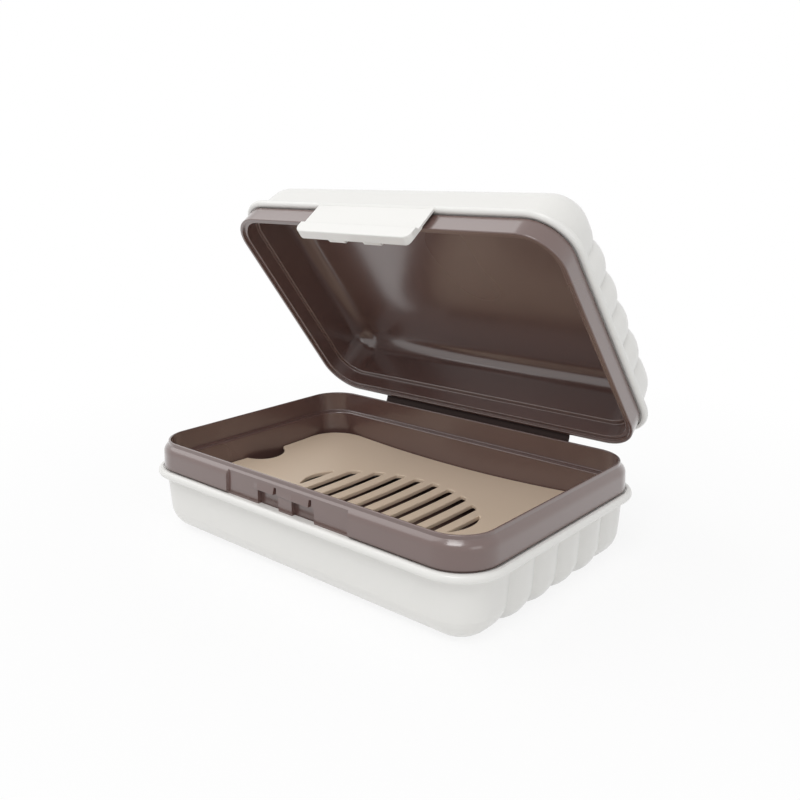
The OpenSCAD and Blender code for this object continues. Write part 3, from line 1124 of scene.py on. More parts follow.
@dataclass
class Liner:
    """A dark liner: a tub whose band shows between the shell's bead and the rim.

    A point within face_zone of the band's face or within back_zone of its inner face is on it.
    The pad is the thick wall behind the pockets, with points at pad_steps from its top. The
    places are where the ends and the fronts have points.
    """

    case: CaseSize
    half: Half
    size: LinerSize = field(default_factory=LinerSize)
    tab: SnapTabSize = field(default_factory=SnapTabSize)
    face_zone: float = 0.05
    back_zone: float = 0.1
    pocket_step: float = 0.06
    hood_side: float = 0.05
    pad_foot: float = 0.5
    pad_clear: float = 0.05
    pad_steps: tuple[float, ...] = (-0.15, 0.0, 0.1)
    end_places: tuple[float, ...] = (-20.0, -10.0, 0.0, 10.0, 20.0)
    lid_places: tuple[float, ...] = (-36.0, -18.0, 0.0, 18.0, 36.0)
    base_places: tuple[float, ...] = (36.0, 42.0)

    def profile(self) -> list[Point2]:
        """The section of the liner's wall, from its underside to its inner floor."""
        return self.base_profile() if self.half is Half.BASE else self.lid_profile()

    def outside(self, h: float) -> list[Corner]:
        """Lists the corners of the hidden outside, up to the foot of the band's face.

        Args:
            h: Height of the shell.

        Returns:
            The corners, from the middle of the underside.
        """
        case, size = self.case, self.size
        low, seat = size.under(case), h - case.seat_drop
        return [case.flat(low)[-1],
                (size.out_at(case, h, low), low, case.edge_r - case.shell_wall - size.gap),
                (size.out_at(case, h, seat), seat, 0), (-size.shadow_in, seat, 0),
                (-size.shadow_in, h + size.shadow_h, 0),
                (0, h + size.shadow_h, size.shadow_round)]

    def inside(self, h: float, ledge: float, band_wall: float) -> list[Corner]:
        """Lists the corners of the inside, from the band's inner face down to the floor.

        Args:
            h: Height of the shell.
            ledge: Height of the ledge at the band's foot.
            band_wall: Thickness of the band.

        Returns:
            The corners, down to the middle of the floor.
        """
        case, size = self.case, self.size
        tub = size.tub(case)
        return [(-band_wall, ledge, size.ledge_round),
                (size.tub_at(case, h, ledge), ledge, size.ledge_in_round),
                (size.tub_at(case, h, tub), tub, size.tub_r), *case.flat(tub)]

    def base_profile(self) -> list[Point2]:
        """Draws the base liner's section, with its bevelled rim and upright lip.

        Returns:
            Offsets and heights, with points where the catches need them.
        """
        case, size, tab = self.case, self.size, self.tab
        h, rim = case.base_h, case.base_rim
        ledge = h - case.seat_drop + size.base_ledge_up
        corners = [
            *self.outside(h),
            (0, rim - size.bevel_drop, size.bevel_round),
            (-size.lip_in, rim - size.bevel_drop + size.bevel_h, size.lip_foot_round),
            (-size.lip_in, rim + size.lip_h, size.lip_round),
            (-size.base_band_wall, rim + size.lip_h, size.lip_round),
            *self.inside(h, ledge, size.base_band_wall),
        ]
        low, high = tab.slit(case)
        face = [*step_at(tab.pocket_top(case), self.pocket_step), *step_at(low), *step_at(high)]
        points = with_levels(rounded(corners, step_deg=12.0), face,
                             lambda p, q: min(p[0], q[0]) > -self.face_zone)
        pad = [tab.pocket_top(case) + tab.pocket_wall + up for up in self.pad_steps]
        return with_levels(points, pad, lambda p, q: (
            p[0] < self.back_zone - size.base_band_wall and p[1] > ledge and q[1] < p[1]))

    def lid_profile(self) -> list[Point2]:
        """Draws the lid liner's section, with the stepped rim that takes the base's lip.

        Returns:
            Offsets and heights, from the underside to the inner floor.
        """
        case, size = self.case, self.size
        h, rim = case.lid_h, case.lid_rim
        ledge = h - case.seat_drop + size.lid_ledge_up
        step = size.lip_in - size.lip_gap
        return rounded([
            *self.outside(h),
            (0, rim, size.rim_round), (-step, rim, size.rim_round),
            (-step, rim - size.lip_h, size.step_round),
            (-size.lid_band_wall, rim - size.lip_h, size.rim_round),
            *self.inside(h, ledge, size.lid_band_wall),
        ], step_deg=12.0)

    def depth_limit(self, x: float, z: float) -> float:
        """How far out the base's front wall may reach, with the recess and what is in it.

        Args:
            x: Place along the front.
            z: Height.

        Returns:
            The largest offset there. It is endless beside the recess.
        """
        tab, limit = self.tab, math.inf
        pocket, high = tab.pocket_top(self.case), tab.slit(self.case)[1]
        room = tab.recess_half + tab.recess_ramp - abs(x)
        if room > 0:
            limit = -tab.recess_d * min(1.0, room / (2 * tab.recess_ramp))
        for side in (-1, 1):
            away, wide = x - side * tab.hook_pitch / 2, tab.pocket_half
            over = pocket < z < high
            if abs(away) < wide and z < pocket:
                limit = -tab.pocket_d
            if over and -wide - self.hood_side < away < wide - tab.hood_in:
                slope = (high - z) / (high - pocket) + tab.hood_tip
                limit = tab.hood * min(1.0, slope) - tab.recess_d
            if over and abs(away - wide + tab.slit_in) < tab.slit_half:
                limit = -tab.recess_d - tab.slit_d
        return limit

    def catches(self, o: float, z: float, place: Station) -> Point2:
        """Cuts the tab's recess, with the pockets, their hoods and slits, in the base's front.

        The wall behind the pockets is made thicker by as much.

        Args:
            o: Offset of the point.
            z: Height of the point.
            place: Where it is on the case.

        Returns:
            The point's new offset and height.
        """
        tab, case = self.tab, self.case
        seat = case.base_h - case.seat_drop
        if self.half is Half.LID or place.side is not Side.FRONT or z < seat - SLACK:
            return o, z
        limit = self.depth_limit(place.x, z)
        pad_top = tab.pocket_top(case) + tab.pocket_wall + self.pad_clear
        inner = o <= SLACK - self.size.base_band_wall
        if inner and seat + self.pad_foot < z < pad_top and abs(place.x) < tab.pad_half:
            limit = -tab.pocket_d - tab.pocket_wall
        return min(o, limit), z

    def front_places(self) -> list[float]:
        """Lists the places along the front at which the recess and pockets need points.

        Returns:
            The places, in no order.
        """
        tab = self.tab
        xs = [tab.recess_half, *step_at(tab.recess_half, tab.recess_ramp),
              *step_at(tab.pad_half, self.pocket_step), *self.base_places]
        xs += [-x for x in xs]
        for side in (-1, 1):
            middle = side * tab.hook_pitch / 2
            slit = middle + tab.pocket_half - tab.slit_in
            xs.append(middle)
            for edge in (middle - tab.pocket_half, middle + tab.pocket_half,
                         slit - tab.slit_half, slit + tab.slit_half):
                xs += step_at(edge)
        return xs

    def build(self, finish: bpy.types.Material) -> bpy.types.Object:
        """Makes the liner.

        Args:
            finish: The liner's material.

        Returns:
            The finished piece.
        """
        case = self.case
        xs = self.front_places() if self.half is Half.BASE else self.lid_places
        places = stations(case, self.end_places, xs)
        obj = sweep(f"{self.half.value}_liner_moulding", self.profile(), places, self.catches)
        obj.data.materials.append(finish)
        return finish_mesh(obj, half_matrix(case, self.half))


@dataclass
class SnapTab:
    """The white tab that hangs from the lid's bead, with a thumb lip and two hooks."""

    case: CaseSize
    size: SnapTabSize = field(default_factory=SnapTabSize)
    places: tuple[float, ...] = (-12.0, 0.0, 12.0)

    def section(self) -> list[Point2]:
        """Draws the tab's side view in the shut case.

        Returns:
            Its points, as y and z, with rounded edges.
        """
        case, s = self.case, self.size
        outer, inner = case.half_w + s.out, case.half_w + s.gap
        low, end = case.half_w - s.low_in, case.base_h + s.end_gap
        step, seam = case.parting - s.gap, case.shut_h - case.lid_h
        thumb, thumb_top = outer + s.thumb_out, end + s.thumb_h
        return rounded([
            (-inner, seam, 0), (-inner, step, s.step_round),
            (-low, step - s.gap - s.low_in, s.step_round), (-low, end, s.end_round),
            (-thumb, end, s.thumb_low_round), (-thumb, thumb_top, s.thumb_round),
            (-outer, thumb_top, s.thumb_root_round), (-outer, seam, 0),
        ], step_deg=22.0)

    def body(self) -> bpy.types.Object:
        """Makes the tab without its hooks.

        Returns:
            The tab's mesh.
        """
        s, case = self.size, self.case
        half, r = s.width / 2, s.corner_r
        outer, low = case.half_w + s.out, case.base_h + s.end_gap + r
        xs = [half - r * (1 - math.sin(math.radians(a))) for a in range(0, 91, 10)]
        xs = sorted({-x for x in xs} | set(xs) | set(self.places))
        bm = bmesh.new()
        rings = []
        for x in xs:
            reach = min(1.0, max(0.0, abs(x) - (half - r)) / r)
            shrink = max(math.sqrt(1 - reach * reach), s.flat_end)
            # the plate is thinner along its sides, which leaves a gap behind them
            keep = 1 - s.side_thin * reach ** 2
            rings.append([bm.verts.new((x, keep * (y + outer) - outer if y > -outer else y,
                                        low - (low - z) * shrink if z < low else z))
                          for y, z in self.section()])
        skin(bm, rings)
        return keep_mesh("tab", bm, outward=True)

    def hook(self, side: int) -> bpy.types.Object:
        """Makes one hook.

        Args:
            side: -1 for the left one, 1 for the right one.

        Returns:
            The hook's mesh.
        """
        s = self.size
        face = self.case.half_w - s.low_in
        root, tip = -face - s.hook_root, s.hook_in - face
        low = self.case.base_h + s.end_gap + s.hook_up
        high, slope = low + s.hook_h, low + s.hook_h / 6
        section = rounded([(root, low, 0), (-face, low, 0), (tip, slope, s.hook_low_round),
                           (tip, high, s.hook_top_round), (root, high, 0)], step_deg=25.0)
        bm = bmesh.new()
        skin(bm, [[bm.verts.new((side * s.hook_pitch / 2 + x, y, z)) for y, z in section]
                  for x in (-s.hook_w / 2, s.hook_w / 2)])
        return keep_mesh("hook", bm, outward=True)

    def build(self, finish: bpy.types.Material) -> bpy.types.Object:
        """Makes the tab.

        Args:
            finish: The shell's material.

        Returns:
            The finished piece.
        """
        obj = merge("snap_tab_moulding", [self.body(), self.hook(-1), self.hook(1)])
        obj.data.materials.append(finish)
        return finish_mesh(obj, lid_matrix(self.case, turned_over=False), self.size.edge_bevel)


@dataclass
class HingeStrap:
    """The thin strap that joins the two bands. The real one bends as the lid turns; this one is
    made once, in its bend with the lid open.
    """

    case: CaseSize
    width: float = 72.6
    thick: float = 0.8
    length: float = 5.6
    seat: float = 1.7
    side_round: float = 1.2
    side_left: float = 0.05
    tuck_deg: float = 1.2
    steps: int = 16
    places: tuple[float, ...] = (-20.0, 0.0, 20.0)

    def ends(self) -> tuple[Vector, Vector]:
        """Finds where the strap starts on the base's band and ends on the lid's.

        Returns:
            The two places, as y and z.
        """
        case = self.case
        y, z = case.pivot
        a = math.radians(case.lid_open)
        reach = (case.half_w - y, self.seat)
        low = Vector((case.half_w, case.parting - self.seat - self.thick / 2))
        high = Vector((y + reach[0] * math.cos(a) + reach[1] * math.sin(a),
                       z - reach[0] * math.sin(a) + reach[1] * math.cos(a)))
        return low, high

    def build(self, finish: bpy.types.Material) -> bpy.types.Object:
        """Makes the strap.

        Args:
            finish: The strap's material, whose dark colour is painted shade.

        Returns:
            The finished piece.
        """
        low, high = self.ends()
        chord = high - low
        span = chord.length
        # rise of a flat arc that is as long as the strap
        rise = math.sqrt(3 / 8 * span * (self.length - span))
        r = (span * span / 4 + rise * rise) / (2 * rise)
        out = Vector((chord.y, -chord.x)).normalized()
        centre = (low + high) / 2 - out * (r - rise)
        middle = math.atan2(out.y, out.x)
        half_turn = math.asin(min(1.0, span / 2 / r)) + math.radians(self.tuck_deg)
        turns = [middle - half_turn + 2 * half_turn * k / self.steps
                 for k in range(self.steps + 1)]
        half = self.width / 2
        xs = [half - self.side_round * (1 - math.cos(math.radians(a))) for a in (0, 30, 60, 90)]
        xs = sorted(set(xs) | {-x for x in xs} | set(self.places))
        bm = bmesh.new()
        rings = []
        for x in xs:
            edge = max(0.0, abs(x) - (half - self.side_round)) / self.side_round
            t = self.thick / 2 * math.sqrt(max(self.side_left, 1 - edge ** 4))
            path = [(r + t, a) for a in turns] + [(r - t, a) for a in reversed(turns)]
            rings.append([bm.verts.new((x, centre.x + d * math.cos(a),
                                        centre.y + d * math.sin(a))) for d, a in path])
        skin(bm, rings)
        obj = keep_mesh("hinge_strap_moulding", bm, outward=True)
        obj.data.materials.append(finish)
        return finish_mesh(obj)


@dataclass
class DrainTray:
    """The beige dished tray, with slots in an oval field and a finger notch.

    The slots are made from short seeds that are drawn out to the oval. The top and the
    underside are filled with triangles, with points fill_step apart.
    """

    case: CaseSize
    liner: LinerSize = field(default_factory=LinerSize)
    up: float = 7.6
    thick: float = 1.25
    dish_r: float = 580.0
    corner_r: float = 13.0
    gap: float = 0.2
    slot_count: int = 10
    slot_pitch: float = 6.65
    slot_w: float = 3.2
    slot_round: float = 0.9
    field_x: float = 31.0
    field_y: float = 20.5
    field_end_r: float = 13.0
    notch_r: float = 8.4
    notch_out: float = 3.1
    notch_y: float = 2.1
    notch_round: float = 0.7
    foot_r: float = 2.2
    foot_x: float = 84.0
    foot_y: float = 46.0
    foot_sides: int = 24
    foot_edge: tuple[Point2, ...] = ((0.4, 0.0), (0.12, 0.12), (0.0, 0.4))
    edge: float = 0.45
    slot_edge: float = 0.3
    edge_steps: int = 4
    corner_steps: int = 12
    notch_steps: int = 24
    slot_seed: float = 4.0
    slot_stretch: float = 1.6
    edge_stretch: float = 3.0
    fill_step: float = 3.4
    fill_shift: float = 0.4
    fill_clear: float = 1.3

    @property
    def tub(self) -> float:
        """Height of the tub's floor."""
        return self.liner.tub(self.case)

    @property
    def inputs(self) -> dict[str, float]:
        """The sizes that the slots' tree takes as named inputs."""
        return {"Count": self.slot_count, "Pitch": self.slot_pitch, "Width": self.slot_w,
                "Round": self.slot_round, "Half Length": self.field_x,
                "Half Width": self.field_y, "End Radius": self.field_end_r}

    @property
    def half_x(self) -> float:
        """Half the tray's length."""
        return self.case.half_l + self.liner.tub_at(
            self.case, self.case.base_h, self.tub + self.up - self.thick) - self.gap

    @property
    def half_y(self) -> float:
        """Half the tray's width."""
        return self.half_x - self.case.half_l + self.case.half_w

    def top(self, x: float, y: float) -> float:
        """Height of the dished top at a place."""
        return self.tub + self.up + self.dish_r - math.sqrt(self.dish_r ** 2 - x * x - y * y)

    def under(self, x: float, y: float) -> float:
        """Height of the underside at a place."""
        r = self.dish_r + self.thick
        return self.tub + self.up + self.dish_r - math.sqrt(r * r - x * x - y * y)

    def slot_tree(self) -> bpy.types.NodeTree:
        """Builds the Geometry Nodes tree that lays out the outlines of the slots.

        Returns:
            The tree. Its result is one closed line of edges for each slot.
        """
        tree, enter, leave = geometry_tree("drain slots", self.inputs)
        link, calc = tree.links.new, partial(math_node, tree)
        quad = add(tree, "GeometryNodeCurvePrimitiveQuadrilateral")
        link(enter.outputs["Width"], quad.inputs["Width"])
        quad.inputs["Height"].default_value = self.slot_seed
        fillet = add(tree, "GeometryNodeFilletCurve", mode="POLY")
        fillet.inputs["Count"].default_value = 6
        link(quad.outputs[0], fillet.inputs["Curve"])
        link(enter.outputs["Round"], fillet.inputs["Radius"])
        dense = add(tree, "GeometryNodeCurveToMesh")
        link(fillet.outputs[0], dense.inputs["Curve"])
        line = add(tree, "GeometryNodeMeshLine", mode="OFFSET")
        link(enter.outputs["Count"], line.inputs["Count"])
        first = add(tree, "ShaderNodeCombineXYZ")
        link(calc("MULTIPLY", calc("SUBTRACT", enter.outputs["Count"], 1.0),
                  calc("MULTIPLY", enter.outputs["Pitch"], -0.5)), first.inputs["X"])
        step = add(tree, "ShaderNodeCombineXYZ")
        link(enter.outputs["Pitch"], step.inputs["X"])
        link(first.outputs[0], line.inputs["Start Location"])
        link(step.outputs[0], line.inputs["Offset"])
        spread = add(tree, "GeometryNodeInstanceOnPoints")
        link(line.outputs[0], spread.inputs["Points"])
        link(dense.outputs[0], spread.inputs["Instance"])
        real = add(tree, "GeometryNodeRealizeInstances")
        link(spread.outputs[0], real.inputs[0])
        # each end follows the oval: round ends joined by two long arcs
        place = add(tree, "GeometryNodeInputPosition")
        axes = add(tree, "ShaderNodeSeparateXYZ")
        link(place.outputs[0], axes.inputs[0])
        fx, fy = enter.outputs["Half Length"], enter.outputs["Half Width"]
        end_r = enter.outputs["End Radius"]

        def square(value: bpy.types.NodeSocket) -> bpy.types.NodeSocket:
            """A value times itself."""
            return calc("MULTIPLY", value, value)

        x = calc("MINIMUM", calc("ABSOLUTE", axes.outputs["X"]), fx)
        end_x = calc("SUBTRACT", fx, end_r)
        side_r = calc(
            "DIVIDE", calc("SUBTRACT", calc("ADD", square(end_x), square(fy)), square(end_r)),
            calc("MULTIPLY", calc("SUBTRACT", fy, end_r), 2.0))
        long_arc = calc("SUBTRACT", calc("SQRT", calc("SUBTRACT", square(side_r), square(x))),
                        calc("SUBTRACT", side_r, fy))
        end_arc = calc("SQRT", calc("MAXIMUM", calc(
            "SUBTRACT", square(end_r), square(calc("SUBTRACT", x, end_x))), 0.0))
        tangent = calc("DIVIDE", calc("MULTIPLY", side_r, end_x),
                       calc("SUBTRACT", side_r, end_r))
        at_end = calc("GREATER_THAN", x, tangent)
        reach = calc("ADD", calc("MULTIPLY", end_arc, at_end),
                     calc("MULTIPLY", long_arc, calc("SUBTRACT", 1.0, at_end)))
        grown = calc("ADD", calc("ABSOLUTE", axes.outputs["Y"]),
                     calc("SUBTRACT", reach, self.slot_seed / 2))
        stretch = add(tree, "ShaderNodeCombineXYZ")
        link(calc("MULTIPLY", calc("SIGN", axes.outputs["X"]), x), stretch.inputs["X"])
        link(calc("MULTIPLY", calc("SIGN", axes.outputs["Y"]), calc("MAXIMUM", grown, 0.0)),
             stretch.inputs["Y"])
        put = add(tree, "GeometryNodeSetPosition")
        link(real.outputs[0], put.inputs["Geometry"])
        link(stretch.outputs[0], put.inputs["Position"])
        finish = add(tree, "GeometryNodeSetMaterial")
        link(put.outputs[0], finish.inputs["Geometry"])
        link(enter.outputs["Material"], finish.inputs["Material"])
        link(finish.outputs[0], leave.inputs[0])
        return tree

    def slots(self, finish: bpy.types.Material) -> list[list[Point2]]:
        """Outlines of the slots, each against the clock.

        Args:
            finish: The tray's material.

        Returns:
            One list of points for each slot.
        """
        helper = bpy.data.objects.new("slot_outlines", bpy.data.meshes.new("slot_outlines"))
        bpy.context.scene.collection.objects.link(helper)
        baked(helper, self.slot_tree(), {**self.inputs, "Material": finish})
        loops = edge_loops(helper.data)
        bpy.data.objects.remove(helper)
        return [spaced(loop, self.slot_stretch) for loop in loops]

    def outline(self) -> list[Point2]:
        """Draws the tray's edge with its finger notch.

        Returns:
            The edge's points, against the clock from the front right corner.
        """
        hx, hy, r, f = self.half_x, self.half_y, self.corner_r, self.notch_round
        rise = math.sqrt((self.notch_r + f) ** 2 - (f + self.notch_out) ** 2)
        turn = math.atan2(rise, f + self.notch_out)
        steps, ease = self.notch_steps, self.notch_steps // 4

        def arc(cx: float, cy: float, radius: float, turns: Iterable[float]) -> list[Point2]:
            """Lists points of a circle.

            Args:
                cx: Its centre along the case.
                cy: Its centre across the case.
                radius: Its radius.
                turns: Where the points are, in radians.

            Returns:
                The points.
            """
            return [(cx + radius * math.cos(a), cy + radius * math.sin(a)) for a in turns]

        def corner(sx: int, sy: int, first: float) -> list[Point2]:
            """Lists the points of one rounded corner.

            Args:
                sx: 1 at the right end, -1 at the left.
                sy: 1 at the back, -1 at the front.
                first: Turn at which it starts, in degrees.

            Returns:
                The points, with both ends of the corner.
            """
            return arc(sx * (hx - r), sy * (hy - r), r,
                       [math.radians(first + 90 * k / self.corner_steps)
                        for k in range(self.corner_steps + 1)])

        return spaced([
            *corner(1, -1, -90), *corner(1, 1, 0), *corner(-1, 1, 90),
            *arc(f - hx, self.notch_y + rise, f,
                 [math.pi + turn * k / ease for k in range(ease + 1)]),
            *arc(-hx - self.notch_out, self.notch_y, self.notch_r,
                 [turn * (1 - 2 * k / steps) for k in range(1, steps)]),
            *arc(f - hx, self.notch_y - rise, f,
                 [math.pi - turn * (1 - k / ease) for k in range(ease + 1)]),
            *corner(-1, -1, 180),
        ], self.edge_stretch)

    def plate(self, finish: bpy.types.Material) -> bpy.types.Object:
        """Makes the dished plate with its slots, its edges rounded over.

        Args:
            finish: The tray's material.

        Returns:
            The plate's mesh.
        """
        loops = [self.outline()] + [list(reversed(s)) for s in self.slots(finish)]
        edges = [self.edge] + [self.slot_edge] * (len(loops) - 1)
        bm = bmesh.new()
        steps = self.edge_steps
        top_rings, low_rings = [], []
        for loop, e in zip(loops, edges):
            normals = inward(loop)
            rings = []
            for surface, way, order in ((self.top, -1, range(steps + 1)),
                                        (self.under, 1, range(steps, -1, -1))):
                for k in order:
                    a = math.radians(90 * k / steps)
                    inset, shift = e * (1 - math.sin(a)), way * e * (1 - math.cos(a))
                    rings.append([bm.verts.new((p[0] + n[0] * inset, p[1] + n[1] * inset,
                                                surface(*p) + shift))
                                  for p, n in zip(loop, normals)])
            for upper, lower in zip(rings, rings[1:]):
                skin(bm, [lower, upper], capped=False)
            top_rings.append(rings[0])
            low_rings.append(rings[-1])
        self.fill(bm, top_rings, low_rings)
        return keep_mesh("plate", bm, outward=True)

    def fill(self, bm: bmesh.types.BMesh, top_rings: list[list[bmesh.types.BMVert]],
             low_rings: list[list[bmesh.types.BMVert]]) -> None:
        """Fills the plate's top and underside between its outline and its slots.

        Args:
            bm: The mesh.
            top_rings: The outline's vertices and then each slot's, on the top.
            low_rings: The same on the underside.
        """
        loops = [[(v.co.x, v.co.y) for v in ring] for ring in top_rings]
        flat = [p for loop in loops for p in loop]

        def solid(place: Point2) -> bool:
            """Whether a place is inside the outline and outside every slot."""
            return within(place, loops[0]) and not any(within(place, s) for s in loops[1:])

        edges, base = [], 0
        for loop in loops:
            edges += [(base + i, base + (i + 1) % len(loop)) for i in range(len(loop))]
            base += len(loop)
        tops = [v for ring in top_rings for v in ring]
        lows = [v for ring in low_rings for v in ring]
        step = self.fill_step
        nx, ny = int(self.half_x // step), int(self.half_y // step)
        for i in range(-nx, nx + 1):
            for j in range(-ny, ny + 1):
                p = (i * step + self.fill_shift * (j % 2), j * step)
                if solid(p) and min(math.dist(p, q) for q in flat[:base]) > self.fill_clear:
                    flat.append(p)
                    tops.append(bm.verts.new((*p, self.top(*p))))
                    lows.append(bm.verts.new((*p, self.under(*p))))
        places = [Vector(p) for p in flat]
        _, _, faces, origin, _, _ = delaunay_2d_cdt(places, edges, [], 0, 1e-6)
        for face in faces:
            ids = [origin[v][0] for v in face]
            if solid((sum(flat[i][0] for i in ids) / 3, sum(flat[i][1] for i in ids) / 3)):
                bm.faces.new([tops[i] for i in ids])
                bm.faces.new([lows[i] for i in reversed(ids)])

    def foot(self, x: float, y: float) -> bpy.types.Object:
        """One foot, with a rounded end.

        Args:
            x: Its place along the case.
            y: Its place across the case.

        Returns:
            The foot's mesh.
        """
        rows = [(self.foot_r - inset, self.tub + up) for inset, up in self.foot_edge]
        rows.append((self.foot_r, self.under(x, y) + self.thick / 2))
        turns = [2 * math.pi * k / self.foot_sides for k in range(self.foot_sides)]
        bm = bmesh.new()
        skin(bm, [[bm.verts.new((x + d * math.cos(a), y + d * math.sin(a), z)) for a in turns]
                  for d, z in rows])
        return keep_mesh("foot", bm)

    def build(self, finish: bpy.types.Material) -> bpy.types.Object:
        """Makes the tray.

        Args:
            finish: The tray's material.

        Returns:
            The finished piece.
        """
        feet = [self.foot(sx * self.foot_x / 2, sy * self.foot_y / 2)
                for sx in (-1, 1) for sy in (-1, 1)]
        obj = merge("drain_tray_moulding", [self.plate(finish), *feet])
        obj.data.materials.append(finish)
        return finish_mesh(obj)


def edge_loops(mesh: bpy.types.Mesh) -> list[list[Point2]]:
    """Follows a mesh's loose edges into closed lines.

    Args:
        mesh: The mesh.

    Returns:
        Each line's points against the clock, from left to right.
    """
    near: dict[int, list[int]] = {}
    for e in mesh.edges:
        a, b = e.vertices
        near.setdefault(a, []).append(b)
        near.setdefault(b, []).append(a)
    left, loops = set(near), []
    while left:
        first = min(left)
        ring, here, before = [], first, -1
        while True:
            ring.append(here)
            left.discard(here)
            on = [v for v in near[here] if v != before]
            before, here = here, on[0]
            if here == first:
                break
        points = [tuple(mesh.vertices[v].co[:2]) for v in ring]
        area = sum(p[0] * q[1] - q[0] * p[1] for p, q in zip(points, points[1:] + points[:1]))
        loops.append(points if area > 0 else points[::-1])
    return sorted(loops, key=lambda loop: sum(p[0] for p in loop) / len(loop))


def spaced(loop: Sequence[Point2], longest: float, shortest: float = 0.02) -> list[Point2]:
    """Drops doubled points of a closed line and splits its long stretches.

    Args:
        loop: The line.
        longest: Longest stretch allowed.
        shortest: Points nearer than this to the one before are dropped.

    Returns:
        The new line.
    """
    out: list[Point2] = []
    kept = [p for i, p in enumerate(loop) if math.dist(p, loop[i - 1]) > shortest]
    for i, p in enumerate(kept):
        q = kept[(i + 1) % len(kept)]
        parts = max(1, math.ceil(math.dist(p, q) / longest))
        out += [(p[0] + (q[0] - p[0]) * k / parts, p[1] + (q[1] - p[1]) * k / parts)
                for k in range(parts)]
    return out


def inward(loop: Sequence[Point2]) -> list[Point2]:
    """Finds the way to the left of a closed line.

    Args:
        loop: The line.

    Returns:
        A unit direction for each of its points.
    """
    out = []
    for i, p in enumerate(loop):
        before, after = loop[i - 1], loop[(i + 1) % len(loop)]
        a = Vector((p[0] - before[0], p[1] - before[1])).normalized()
        b = Vector((after[0] - p[0], after[1] - p[1])).normalized()
        t = (a + b).normalized()
        out.append((-t.y, t.x))
    return out


def within(p: Point2, loop: Sequence[Point2]) -> bool:
    """Says whether a point lies inside a closed line.

    Args:
        p: The point.
        loop: The line.

    Returns:
        True where it lies inside.
    """
    inside = False
    for (x1, y1), (x2, y2) in zip(loop, [*loop[1:], loop[0]]):
        if (y1 > p[1]) != (y2 > p[1]) and p[0] < (x2 - x1) * (p[1] - y1) / (y2 - y1) + x1:
            inside = not inside
    return inside


# --------------------------------------------------------------------------- the stage


@dataclass(frozen=True)
class CameraView:
    """The camera of the photograph, fitted to the case's edges."""

    place_mm: tuple[float, float, float] = (170.853, -193.798, 109.094)
    azimuth: float = 42.019
    elevation: float = 5.109
    roll: float = -0.424
    focal_px: float = 904.628
    centre_px: Point2 = (374.119, 245.673)
    image_px: float = 800.0
    sensor_mm: float = 36.0
    clip: tuple[float, float] = (0.01, 20.0)

    def build(self) -> None:
        """Makes the camera and gives it to the scene."""
        az, el, roll = (math.radians(v) for v in (self.azimuth, self.elevation, self.roll))
        back = Vector((math.sin(az) * math.cos(el), -math.cos(az) * math.cos(el), math.sin(el)))
        right = Vector((math.cos(az), math.sin(az), 0))
        up = back.cross(right)
        side = right * math.cos(roll) + up * math.sin(roll)
        over = -right * math.sin(roll) + up * math.cos(roll)
        data = bpy.data.cameras.new("camera")
        data.sensor_width = self.sensor_mm
        data.lens = self.focal_px / self.image_px * data.sensor_width
        data.shift_x = 0.5 - self.centre_px[0] / self.image_px
        data.shift_y = self.centre_px[1] / self.image_px - 0.5
        data.clip_start, data.clip_end = self.clip
        cam = bpy.data.objects.new("camera", data)
        turn = Matrix((side, over, back)).transposed().to_4x4()
        cam.matrix_world = Matrix.Translation(Vector(self.place_mm) * MM) @ turn
        bpy.context.scene.collection.objects.link(cam)
        bpy.context.scene.camera = cam


@dataclass(frozen=True)
class Lamp:
    """A soft square lamp, with its place and side in metres and its power in watts."""

    name: str
    place: tuple[float, float, float]
    size: float
    power: float

    def build(self, target: tuple[float, float, float]) -> None:
        """Adds the lamp to the scene.

        Args:
            target: The place it points at, in metres.
        """
        data = bpy.data.lights.new(self.name, "AREA")
        data.size = self.size
        data.energy = self.power
        obj = bpy.data.objects.new(self.name, data)
        obj.location = self.place
        way = Vector(target) - Vector(self.place)
        obj.rotation_euler = way.to_track_quat("-Z", "Y").to_euler()
        bpy.context.scene.collection.objects.link(obj)


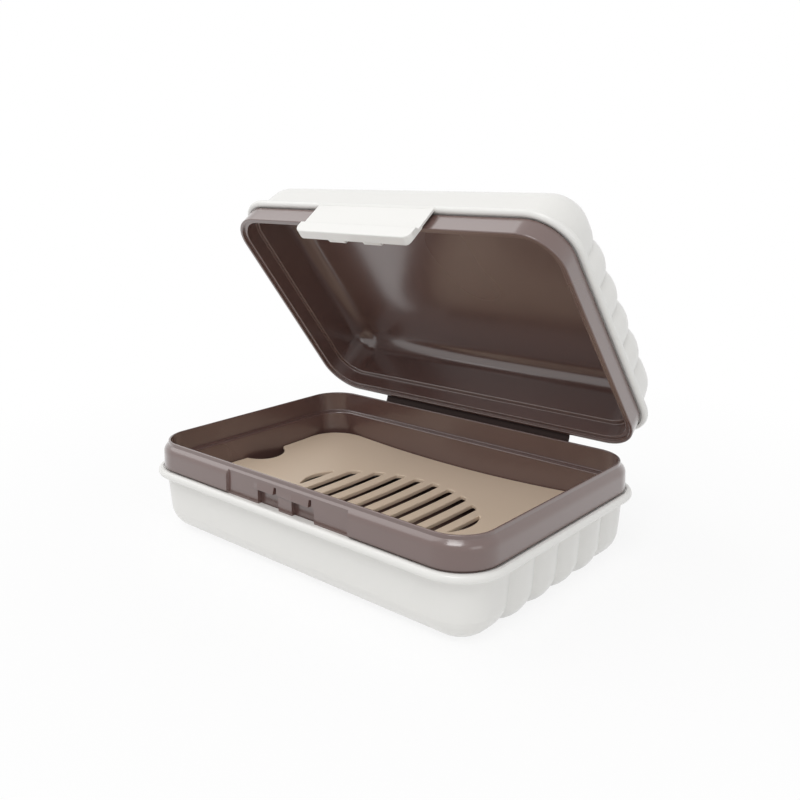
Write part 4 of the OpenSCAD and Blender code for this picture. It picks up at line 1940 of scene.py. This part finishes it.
@dataclass(frozen=True)
class Studio:
    """The pale floor, the surroundings and the lamps, in metres."""

    floor_half: float = 3.0
    floor_tone: float = 0.93
    near: float = 0.07
    far: float = 0.22
    near_white: float = 0.86
    world_light: float = 0.54
    target: tuple[float, float, float] = (0.0, 0.01, 0.04)
    lamps: tuple[Lamp, ...] = (
        Lamp("front lamp", (0.25, -0.54, 0.82), 0.45, 3.0),
        Lamp("left lamp", (-0.62, -0.27, 0.78), 0.85, 2.35),
        Lamp("right lamp", (0.92, -0.25, 0.3), 0.4, 0.5),
    )

    def floor(self) -> None:
        """Makes the floor, which is white to the camera and keeps a soft shadow."""
        mesh = bpy.data.meshes.new("floor")
        s = self.floor_half
        mesh.from_pydata([(-s, -s, 0), (s, -s, 0), (s, s, 0), (-s, s, 0)], [], [(0, 1, 2, 3)])
        obj = bpy.data.objects.new("floor", mesh)
        bpy.context.scene.collection.objects.link(obj)
        mat = bpy.data.materials.new("pale floor")
        mat.use_nodes = True
        tree = mat.node_tree
        tree.nodes.clear()
        link = tree.links.new
        out = add(tree, "ShaderNodeOutputMaterial")
        lit = add(tree, "ShaderNodeBsdfDiffuse")
        lit.inputs["Color"].default_value = (*[self.floor_tone] * 3, 1)
        white = add(tree, "ShaderNodeEmission")
        white.inputs["Strength"].default_value = 1.0
        place = add(tree, "ShaderNodeTexCoord")
        away = add(tree, "ShaderNodeVectorMath", operation="LENGTH")
        link(place.outputs["Object"], away.inputs[0])
        far = add(tree, "ShaderNodeMapRange")
        far.inputs["From Min"].default_value = self.near
        far.inputs["From Max"].default_value = self.far
        far.inputs["To Min"].default_value = self.near_white
        far.inputs["To Max"].default_value = 1.0
        link(away.outputs["Value"], far.inputs["Value"])
        mix = add(tree, "ShaderNodeMixShader")
        link(math_node(tree, "MULTIPLY", seen_directly(tree), far.outputs["Result"]),
             mix.inputs["Fac"])
        link(lit.outputs[0], mix.inputs[1])
        link(white.outputs[0], mix.inputs[2])
        link(mix.outputs[0], out.inputs["Surface"])
        obj.data.materials.append(mat)

    def world(self) -> None:
        """Makes the surroundings: white to the camera, a soft light to the object."""
        world = bpy.data.worlds.new("surroundings")
        bpy.context.scene.world = world
        world.use_nodes = True
        tree = world.node_tree
        tree.nodes.clear()
        out = add(tree, "ShaderNodeOutputWorld")
        soft, white = add(tree, "ShaderNodeBackground"), add(tree, "ShaderNodeBackground")
        soft.inputs["Color"].default_value = (1, 1, 1, 1)
        soft.inputs["Strength"].default_value = self.world_light
        white.inputs["Color"].default_value = (1, 1, 1, 1)
        white.inputs["Strength"].default_value = 1.0
        mix = add(tree, "ShaderNodeMixShader")
        tree.links.new(seen_directly(tree), mix.inputs["Fac"])
        tree.links.new(soft.outputs[0], mix.inputs[1])
        tree.links.new(white.outputs[0], mix.inputs[2])
        tree.links.new(mix.outputs[0], out.inputs["Surface"])

    def build(self) -> None:
        """Makes the floor, the surroundings and the lamps."""
        self.floor()
        self.world()
        for lamp in self.lamps:
            lamp.build(self.target)
        bpy.context.scene.view_settings.view_transform = "Standard"


def main() -> None:
    """Builds every piece, gives each its body, and sets the stage round them."""
    logging.basicConfig(level=logging.INFO, format="%(name)s: %(message)s")
    CameraView().build()
    finishes = Finishes.build()
    case = CaseSize()
    rib_tree = GripRibs().tree()
    strap = HingeStrap(case)
    pieces = [
        (Shell(case, Half.BASE).build(rib_tree, finishes.shell), "base", "base_shell", "shell"),
        (Liner(case, Half.BASE).build(finishes.liner), "base", "base_liner", "liner"),
        (DrainTray(case).build(finishes.tray), "tray", "drain_tray", "tray"),
        (Shell(case, Half.LID).build(rib_tree, finishes.shell), "lid", "lid_shell", "shell"),
        (Liner(case, Half.LID).build(finishes.liner), "lid", "lid_liner", "liner"),
        (SnapTab(case).build(finishes.shell), "snap_tab", "latch_tab", "shell"),
        (strap.build(finishes.strap), "", "hinge_strap", "strap"),
    ]
    for piece, body, node, slot in pieces:
        if body:
            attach(piece, body)
        else:
            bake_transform(piece)
        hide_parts(node)
        LOG.info("%s: %d faces, for %s", piece.name, len(piece.data.polygons), node)
    Studio().build()


if __name__ == "__main__":
    main()
